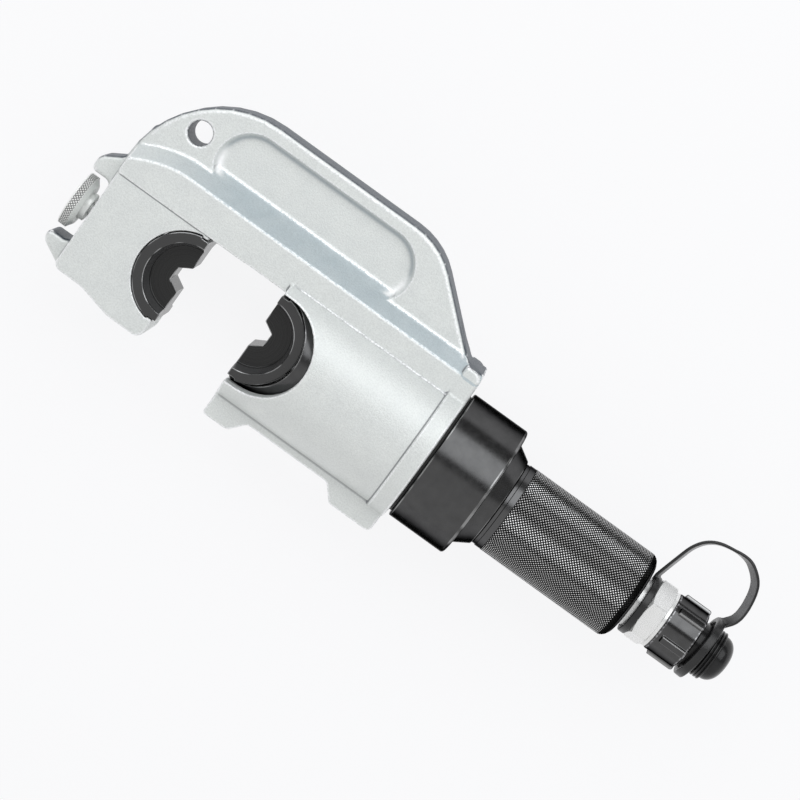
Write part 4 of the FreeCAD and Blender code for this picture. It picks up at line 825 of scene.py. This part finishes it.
ring_start, ring_end, ring_radius = barrel_end + 0.06, cap_front - 0.06, 34.6
ring_outline = rounded([
    (ring_start, cap_thread_radius, 0), (ring_start, ring_radius, 0.5), (ring_end, ring_radius, 0.5),
    (ring_end, cap_thread_radius, 0)], run=0.1)
finished("cap_ring", turned_mesh("cap_ring_turning", ring_outline), seal_finish, "frame", "seal_rubber",
         "cap_seal_ring")


# Handle
# A sleeve of aluminium screwed on the cap's neck, black anodised, with a diamond knurl between
# a plain groove and a well rounded end. A small set screw in the plain band locks it.
handle_start, handle_end, coupler_start = 191.5, 273.4, 263.4
handle_radius, knurl_depth, end_round = 24.6, 0.38, 5.3
plain_radius, handle_bore = 24.3, 20.06
knurl_steps = 176
knurl_pitch = 2 * math.pi * handle_radius / knurl_steps
front_outline = rounded([
    (handle_start, handle_bore, 0), (handle_start, 23.9, 0.4), (handle_start + 2.0, 23.9, 0.2, 0),
    (handle_start + 2.0, plain_radius, 0.3), (handle_start + 5.4, plain_radius, 0)], run=0.2)[:-1]
front_outline = np.concatenate([
    front_outline, [(handle_start + 5.3, plain_radius, 0), (handle_start + 5.5, plain_radius - 0.15, 0)]])
knurl_first, knurl_last = handle_start + 5.7, handle_end - 1.3
knurl_rows = round((knurl_last - knurl_first) / knurl_pitch)
knurl_rows += knurl_rows % 2
knurl_places = np.linspace(knurl_first, knurl_last, knurl_rows + 1)
into_round = np.maximum(knurl_places - handle_end + end_round, 0)
knurl_radii = handle_radius - end_round + np.sqrt(end_round ** 2 - into_round ** 2)
knurl_outline = np.stack([knurl_places, knurl_radii, 0 * knurl_places], 1)
rear_outline = rounded([
    (knurl_last + 0.3, 0.0, 0), (knurl_last + 0.3, knurl_radii[-1] - 0.5, 0),
    (handle_end, knurl_radii[-1] - 2.2, 0.8, 0.0), (handle_end, 14.06, 0.3), (coupler_start, 14.06, 0),
    (coupler_start, 12.0, 0), (cone_end + 18, 12.0, 0), (cone_end + 18, handle_bore, 0)])[1:]
handle_outline = np.concatenate([front_outline, knurl_outline, rear_outline])
knurl_row = len(front_outline)


def knurled_mesh(name, outline, first, count, depth, steps, closed=True):
    """A turned piece with pyramids over count of its rows from first on."""
    def dented(x, radius, angle):
        row = np.arange(len(x))[:, None]
        low = (row + np.arange(x.shape[1])) % 2 == 0
        inside = (row >= first) & (row <= first + count)
        return x, radius - depth * (low & inside)

    return turned_mesh(name, outline, steps, closed, dented, (first, first + count))


def knurl_finish(name, colour, metallic, roughness, knurl, radius, depth, start, end):
    """A metal with a knurled band from start to end, its colours knurl going from valley to peak."""
    material, tree, shader = finish(name, colour, metallic, roughness, edge_tint=0.2)
    place = parts_of(tree)
    squares = maths(tree, "ADD", maths(tree, "POWER", place[1], 2.0), maths(tree, "POWER", place[2], 2.0))
    height = mask(tree, maths(tree, "SQRT", squares), (radius - depth) * mm, radius * mm)
    # Painted shade and highlight: the knurl's valleys are coloured darker than the plain metal, as shade, and
    # its peaks lighter, partly as worn crests and partly as painted glints.
    tone = ramp(tree, height, *zip((0.2, 0.5, 0.7), knurl))
    band = maths(tree, "MULTIPLY", mask(tree, place[0], (start - 0.1) * mm, start * mm),
                 mask(tree, place[0], (end + 0.1) * mm, end * mm))
    band = maths(tree, "MULTIPLY", band, mask(tree, height, -0.2, 0.0))
    feed(shader, base_color=blend_colour(tree, band, colour, tone))
    rough_grain(tree, shader, noise(tree, 0.5), roughness - 0.04, roughness + 0.06, 0.005, 0.5)
    return material


handle_finish = knurl_finish("black_anodised_knurl", (0.115, 0.115, 0.117), 1.0, 0.22,
                             ((0.01, 0.01, 0.01), (0.08, 0.08, 0.081), (1.0, 1.0, 1.0)),
                             handle_radius, knurl_depth, knurl_first, knurl_last)
handle_mesh = knurled_mesh("handle_turning", handle_outline, knurl_row, knurl_rows, knurl_depth, knurl_steps)
finished("knurled_handle", handle_mesh, handle_finish, "frame", "handle_metal", "handle", crease=20,
         weighted=False)

screw_angle, screw_depth = math.radians(39.0), 19.3
socket_half, socket_floor, screw_length, screw_radius = 0.75, 2.4, 4.86, 1.5


def hex_socket(x, radius, angle):
    """Turns the round bore of a screw's head into a hexagon."""
    sixth = math.pi / 3
    flat = socket_half / np.cos((angle + sixth / 2) % sixth - sixth / 2)
    return x, np.where((radius > 0) & (radius < screw_radius - 0.6), flat, radius)


grub_outline = rounded([
    (socket_floor, 0, 0), (socket_floor, socket_half, 0), (screw_length, socket_half, 0),
    (screw_length, screw_radius, 0.25), (0.0, screw_radius, 0), (0.0, 0, 0)])
grub_mesh = turned_mesh("grub_turning", grub_outline, steps=48, closed=False, alter=hex_socket)
grub_lean = Matrix.Rotation(screw_angle, 4, "X") @ Matrix.Rotation(math.pi / 2, 4, "Z")
grub_place = Vector((
    handle_start + 3.8, screw_depth * math.cos(screw_angle), screw_depth * math.sin(screw_angle)))
grub_mesh.transform(Matrix.Translation(grub_place * mm) @ grub_lean)
finished("set_screw", grub_mesh, black_finish, "frame", "black_steel", "handle_set_screw")


# Hose coupler
# A nickel-plated steel body: a neck in the handle, a hexagon with turned corners for the
# spanner, a nose with the check valve in it, and a thin loose thrust ring behind the collar.
hex_start, hex_end, hex_flat = 280.4, 289.9, 15.8
hex_turn = math.radians(7.6)
hex_turned, bevel_radius, bevel_slope = 18.2, 16.0, 1.2 / 2.35
coupler_neck, nose_radius, nose_end = 14.0, 11.4, 306.9
valve_start, valve_seat, valve_bore, oil_bore = 276.4, 304.9, 6.6, 3.0


def hexagon(x, radius, angle):
    """Cuts six flats on the wide part, and lets the turned bevel run up their corners."""
    sixth = math.pi / 3
    flat = hex_flat / np.cos((angle - hex_turn) % sixth - sixth / 2)
    flat = np.minimum(flat, hex_turned - 0.1) + 0 * radius
    wide = radius > hex_turned - 0.3
    run = bevel_slope * np.maximum(flat - bevel_radius, 0)
    near_front = wide & (np.abs(x - hex_start) < 2)
    near_back = wide & (np.abs(x - hex_end) < 2)
    new_x = np.where(near_front, x + run, np.where(near_back, x - run, x))
    new_radius = np.where(wide, flat, np.minimum(radius, np.where(radius > bevel_radius - 0.5, flat, radius)))
    return new_x, new_radius


coupler_outline = [
    (coupler_start, oil_bore, 0), (coupler_start, coupler_neck - 0.4, 0),
    (coupler_start + 0.4, coupler_neck, 1), (hex_start - 0.2, coupler_neck, 0),
    (hex_start, coupler_neck, 0), (hex_start, bevel_radius - 0.1, 0),
    (hex_start, bevel_radius, 0.5), (hex_start, hex_turned, 0.5), (hex_start + 0.15, hex_turned, 0),
    (hex_start + 2.4, hex_turned, 0), (hex_end - 2.4, hex_turned, 0), (hex_end - 0.15, hex_turned, 0),
    (hex_end, hex_turned, 0.5), (hex_end, bevel_radius, 0.5), (hex_end, bevel_radius - 0.1, 0),
    (hex_end, nose_radius, 0), (nose_end - 0.5, nose_radius, 0), (nose_end, nose_radius - 0.5, 1),
    (nose_end, 4.5, 0), (nose_end - 0.3, 4.2, 0), (valve_seat, 4.2, 0), (valve_seat, valve_bore, 0),
    (valve_start, valve_bore, 0), (valve_start, oil_bore, 0)]
coupler_mesh = turned_mesh("coupler_turning", coupler_outline, steps=240, alter=hexagon)
nickel_finish = turned_steel("bright_nickel", (0.85, 0.85, 0.845), 0.26, metallic=0.4)
finished("coupler_hexagon", coupler_mesh, nickel_finish, "frame", "bright_steel", "coupler_body", crease=20)
thrust_end, thrust_radius, thrust_bore = 291.9, 16.0, 11.5
thrust_outline = rounded([
    (hex_end, thrust_bore, 0), (hex_end, thrust_radius, 0.4), (thrust_end, thrust_radius, 0.4),
    (thrust_end, thrust_bore, 0)], run=0.2)
finished("thin_thrust_ring", turned_mesh("thrust_turning", thrust_outline), nickel_finish, "frame",
         "bright_steel", "thrust_ring")
poppet_start, poppet_shoulder, poppet_radius, poppet_tip = 293.9, 302.9, 6.54, 306.5
poppet_outline = rounded([
    (poppet_start, 0, 0), (poppet_start, poppet_radius, 0.6), (poppet_shoulder, poppet_radius, 0.4),
    (valve_seat - 0.06, 4.6, 0.2), (valve_seat - 0.06, 3.8, 0), (poppet_tip, 3.4, 0.5),
    (poppet_tip, 0, 0)], run=0.2)
finished("valve_poppet_turning", turned_mesh("poppet_turning", poppet_outline, closed=False), nickel_finish,
         "valve_poppet", "bright_steel", "valve_poppet")


# Union collar
# A nut of black anodised aluminium, threaded inside for the hose's half of the coupling. It
# spins on the coupler's nose, held there by a wire clip, and has six ribs for the fingers.
collar_start, collar_end, collar_radius = thrust_end, 309.9, 16.3
collar_bore, thread_bore, bore_step = 11.46, 13.9, collar_start + 3.2
rib_rise, rib_half, rib_count, rib_length, rib_turn = 1.7, 2.1, 6, 15.4, math.radians(12.0)


def smooth(value, low, high):
    """0 at low and 1 at high, easing in and out."""
    share = np.clip((value - low) / (high - low), 0, 1)
    return share * share * (3 - 2 * share)


def beside_rib(angle):
    """How far round the collar it is to the middle of the nearest rib."""
    sixth = 2 * math.pi / rib_count
    return np.abs((angle + rib_turn + sixth / 2) % sixth - sixth / 2) * collar_radius


def ribs(x, radius, angle):
    """Raises six ribs on the collar's outside, ramped at the front and flush behind."""
    across = 1 - smooth(beside_rib(angle), rib_half - 0.6, rib_half + 0.3)
    along = smooth(x, collar_end - rib_length, collar_end - rib_length + 0.8)
    return x, radius + np.where(radius > thread_bore + 1, rib_rise * across * along, 0)


collar_body = rounded([
    (collar_start + 0.06, collar_bore, 0), (collar_start + 0.06, collar_radius, 1.0),
    (collar_end, collar_radius, 1.2), (collar_end, thread_bore, 0.2), (bore_step, thread_bore, 0),
    (bore_step, collar_bore, 0)], run=0.2)
top = [i for i, (x, r, wear) in enumerate(collar_body) if abs(r - collar_radius) < 1e-6]
crossing = next(i for i in top if collar_body[i + 1][0] - collar_body[i][0] > 5)
steps_along = np.linspace(collar_body[crossing][0], collar_body[crossing + 1][0], 45)[1:-1]
collar_outline = np.concatenate([collar_body[:crossing + 1], [(x, collar_radius, 0) for x in steps_along],
                                 collar_body[crossing + 1:]])
collar_mesh = turned_mesh("collar_turning", collar_outline, steps=480, alter=ribs)
# The ribs' long edges are marked to be lighter: partly bare worn metal, partly a painted highlight along
# them.
x, y, z = points_of(collar_mesh).T
corner = np.clip(1 - np.abs(beside_rib(np.arctan2(z, y)) - rib_half + 0.35) / 0.45, 0, 1)
on_rib = (x > collar_end - rib_length + 0.4) & (x < collar_end - 0.4)
mark(collar_mesh, "corner", corner * on_rib)
collar_finish, tree, shader = finish("black_anodised", (0.10, 0.10, 0.10), 1.0, 0.15, edge_tint=0.2)
tone = ramp(tree, noise(tree, 5.0, 3.0), (0.3, (0.085, 0.085, 0.086)), (0.7, (0.105, 0.105, 0.106)))
wear_and_glints = maths(tree, "MULTIPLY", attribute(tree, "worn"), mask(tree, noise(tree, 1.5, 3.0), 0.4, 0.6))
tone = blend_colour(tree, attribute(tree, "corner"), tone, (0.4, 0.4, 0.4))
feed(shader, base_color=blend_colour(tree, wear_and_glints, tone, (0.35, 0.35, 0.36)))
rough_grain(tree, shader, noise(tree, 0.35), 0.13, 0.19, 0.006, 0.6)
finished("ribbed_collar", collar_mesh, collar_finish, "collar", "collar_metal", "coupler_collar", crease=60)


# Dust plug and tether
# Moulded black rubber: a cup over the nose, a neck, three grip ridges and a domed end. A flat
# strap, moulded in one with a ring at each end, ties the plug to the coupler's neck.
neck_start, neck_end, neck_radius = 310.2, 318.2, 12.4
ridge_pitch, dome_start, plug_end = 1.7, 323.3, 331.3
cup_start, cup_floor, cup_radius, cup_bore = 298.9, 307.2, 13.6, 11.7
plug_corners = [(cup_start, cup_bore, 0), (cup_start, cup_radius, 0.5), (neck_start, cup_radius, 0.6),
                (neck_start, neck_radius, 0.3, 0)]
for i in range(3):
    ridge = neck_end + i * ridge_pitch
    plug_corners += [(ridge, neck_radius, 0.2, 0), (ridge + 0.45, 13.8, 0.35), (ridge + 1.2, 13.8, 0.35)]
plug_corners += [(dome_start, neck_radius, 0.2, 0), (dome_start + 0.6, neck_radius, 0, 0)]
for i in range(1, 20):
    swing = math.pi / 2 * i / 20
    plug_corners.append((dome_start + 0.6 + (plug_end - dome_start - 0.6) * math.sin(swing),
                         neck_radius * math.cos(swing) ** 0.75, 0, 0))
plug_corners += [(plug_end, 0, 0), (cup_floor, 0, 0), (cup_floor, cup_bore, 0)]
plug_finish = soft_finish("plug_rubber", (0.012, 0.012, 0.0125), 0.2, 0.5, 0.008)
plug_finish.node_tree.nodes["Principled BSDF"].inputs["Specular IOR Level"].default_value = 0.32
plug_mesh = turned_mesh("plug_turning", rounded(plug_corners), steps=128)
finished("rubber_dust_plug", plug_mesh, plug_finish, "dust_plug", "plug_rubber", "dust_plug")

neck_ring, neck_ring_outer, neck_ring_inner = (276.3, 280.1), 16.9, 14.3
plug_ring, plug_ring_outer, plug_ring_inner, plug_ring_half = 315.1, 18.0, 14.8, 2.2
ring_lean = math.radians(4)
strap_half, strap_thick, strap_rise = 3.1, 1.6, 49.2
strap_begin = np.array([277.1, 15.9])
strap_end = np.array([plug_ring + plug_ring_outer * math.sin(ring_lean), 17.0])
strap_bends = [(0.045, 0.22), (0.20, 0.91), (0.73, 1.045), (0.96, 0.895), (1.08, 0.69), (1.13, 0.23)]
strap_twist = ((279, 285, 300, 312, 320), (22, 20, 8, 32, 38))


def strap_line(count=14):
    """Points along the strap's middle: a smooth curve drawn by the corners of its loop."""
    spread = np.array([strap_end[0] - strap_begin[0], strap_rise - strap_begin[1]])
    corners = [strap_begin, *[strap_begin + np.array(bend) * spread for bend in strap_bends], strap_end]
    middles = [(a + b) / 2 for a, b in zip(corners, corners[1:])]
    line = [corners[0]]
    for start, corner, end in zip(middles, corners[1:-1], middles[1:]):
        for share in np.arange(count) / count:
            line.append((1 - share) ** 2 * start + 2 * share * (1 - share) * corner + share ** 2 * end)
    return np.array([*line, middles[-1], corners[-1]])


def strap_place(x, y, z):
    """Distances from the strap's middle, through it and across its width."""
    line = strap_line()
    ahead = np.gradient(line, axis=0)
    ahead /= np.linalg.norm(ahead, axis=1)[:, None]
    line = line + np.stack([-ahead[:, 1], ahead[:, 0]], 1) * strap_thick / 2
    nearest = np.full(np.broadcast(x, y).shape, 1e9, np.float32)
    outward = nearest.copy()
    for (ax, ay), (bx, by) in zip(line, line[1:]):
        gap = np.hypot(*off_segment(x, y, ax, ay, bx, by))
        side = np.sign((bx - ax) * (y - ay) - (by - ay) * (x - ax))
        outward = np.where(gap < nearest, gap * side, outward)
        nearest = np.minimum(nearest, gap)
    twist = np.radians(np.interp(x, *strap_twist))
    return outward * np.cos(twist) - z * np.sin(twist), outward * np.sin(twist) + z * np.cos(twist)


def tether(x, y, z):
    """The twisted strap and its two rings, run together where they meet."""
    through, aside = strap_place(x, y, z)
    strap = both(np.abs(through) - strap_thick / 2, np.abs(aside) - strap_half, 0.5)
    r = np.sqrt(y ** 2 + z ** 2)
    front = both(r - neck_ring_outer, neck_ring_inner - r, 0.3)
    front = both(front, np.maximum(neck_ring[0] - x, x - neck_ring[1]), 0.6)
    c, s = math.cos(ring_lean), math.sin(ring_lean)
    along = (x - plug_ring) * c - y * s
    r = np.hypot((x - plug_ring) * s + y * c, z)
    rear = both(both(r - plug_ring_outer, plug_ring_inner - r, 0.4), np.abs(along) - plug_ring_half, 0.7)
    body = joined(joined(front, strap, 1.2), rear, 1.2)
    return less(body, rod(x, y, z, neck_ring_inner, 275, 282), 0.2)


tether_mesh = carved("tether", tether, (275, -19), (325, 52, 19), 0.36, 0.5, mirrored=False)
x, y, z = points_of(tether_mesh).T
mark(tether_mesh, "edge", np.clip((np.abs(strap_place(x, y, z)[1]) - strap_half + 0.8) / 0.5, 0, 1))
strap_finish = soft_finish("tether_rubber", (0.012, 0.012, 0.0125), 0.3, 0.5, 0.008)
tree = strap_finish.node_tree
base = tree.nodes["Principled BSDF"].inputs["Base Color"]
# Painted light: the strap's flat faces are coloured a lighter grey than its edges and its rings, though all
# are one black rubber.
inner = maths(tree, "SUBTRACT", 1.0, attribute(tree, "edge"))
flat = maths(tree, "MULTIPLY", mask(tree, parts_of(tree)["Y"], 18 * mm, 26 * mm), inner)
tree.links.new(blend_colour(tree, flat, base.links[0].from_socket, (0.20, 0.20, 0.203)), base)
strap_piece = finished("tether_strap", tether_mesh, strap_finish, None, "plug_rubber", "plug_tether",
                       weighted=False, crease=60)
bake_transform(strap_piece)


# Thumb screw
# A bright steel knob with a fine knurled rim, dished behind, on a threaded stem that runs
# through the jaw and holds the fixed die.
stem_start, stem_tip, thread_pitch, thread_depth = -67.0, -25.3, 1.25, 0.62
thread_rows, thread_start, stem_radius = 10, -59.8, 4.0
stem_rows = round((stem_tip - 1.0 - thread_start) / thread_pitch * thread_rows)
stem_outline = [(stem_start, 0, 0), (stem_start, 3.8, 0), (-60.2, 3.8, 0), (-60.0, 3.99, 0)]
for i in range(stem_rows + 1):
    stem_outline.append((thread_start + i * thread_pitch / thread_rows, stem_radius, 0))
stem_outline += [(stem_tip - 0.9, 3.3, 0), (stem_tip - 0.3, 3.0, 1), (stem_tip, 2.7, 0), (stem_tip, 0, 0)]


def thread(x, radius, angle):
    """Cuts a screw thread where the stem is full width."""
    phase = (x / thread_pitch - angle / (2 * math.pi)) % 1
    groove = np.clip(1.25 - np.abs(phase - 0.5) * 3.2, 0, 1)
    return x, np.where(radius > stem_radius - 0.005, radius - thread_depth * groove, radius)


screw_mesh = turned_mesh("stem_turning", stem_outline, steps=72, closed=False, alter=thread)
finished("thumb_screw_stem", screw_mesh, steel_finish, "thumb_screw", "bright_steel", "thumb_screw")

hub_end, hub_start, knob_start, knob_radius, hub_radius = -60.0, -65.0, -69.6, 15.0, 7.7
rim_depth, rim_steps = 0.4, 116
rim_pitch = 2 * math.pi * knob_radius / rim_steps
rim_rows = 2 * round((hub_start - knob_start - 0.6) / rim_pitch / 2)
knob_front = rounded([
    (knob_start, 0, 0), (knob_start, knob_radius - 0.1, 0.5),
    (knob_start + 0.6, knob_radius - 0.1, 0)], run=0.2)[:-1]
rim_first, rim_last = knob_start + 0.7, hub_start - 0.2
knob_rim = [(rim_first + (rim_last - rim_first) * i / rim_rows, knob_radius, 0) for i in range(rim_rows + 1)]
knob_back = rounded([
    (hub_start - 0.1, knob_radius - 0.2, 0), (hub_start, knob_radius - 0.5, 0), (hub_start + 2.1, 11.5, 0.3),
    (hub_start + 1.4, hub_radius, 0.5, 0), (hub_end, hub_radius, 0.7), (hub_end, 4.06, 0.3),
    (stem_start, 4.06, 0), (stem_start, 0, 0)], run=0.2)
knob_outline = np.concatenate([knob_front, knob_rim, knob_back])
knob_finish = knurl_finish("bright_knurl", (0.93, 0.94, 0.925), 0.2, 0.3,
                           ((0.2, 0.2, 0.2), (0.86, 0.87, 0.85), (0.98, 0.98, 0.97)),
                           knob_radius, rim_depth, rim_first, rim_last)
knob_mesh = knurled_mesh("knob_turning", knob_outline, len(knob_front), rim_rows, rim_depth, rim_steps,
                         closed=False)
finished("knurled_knob", knob_mesh, knob_finish, "thumb_knob", "bright_steel", "thumb_knob", crease=20,
         weighted=False)
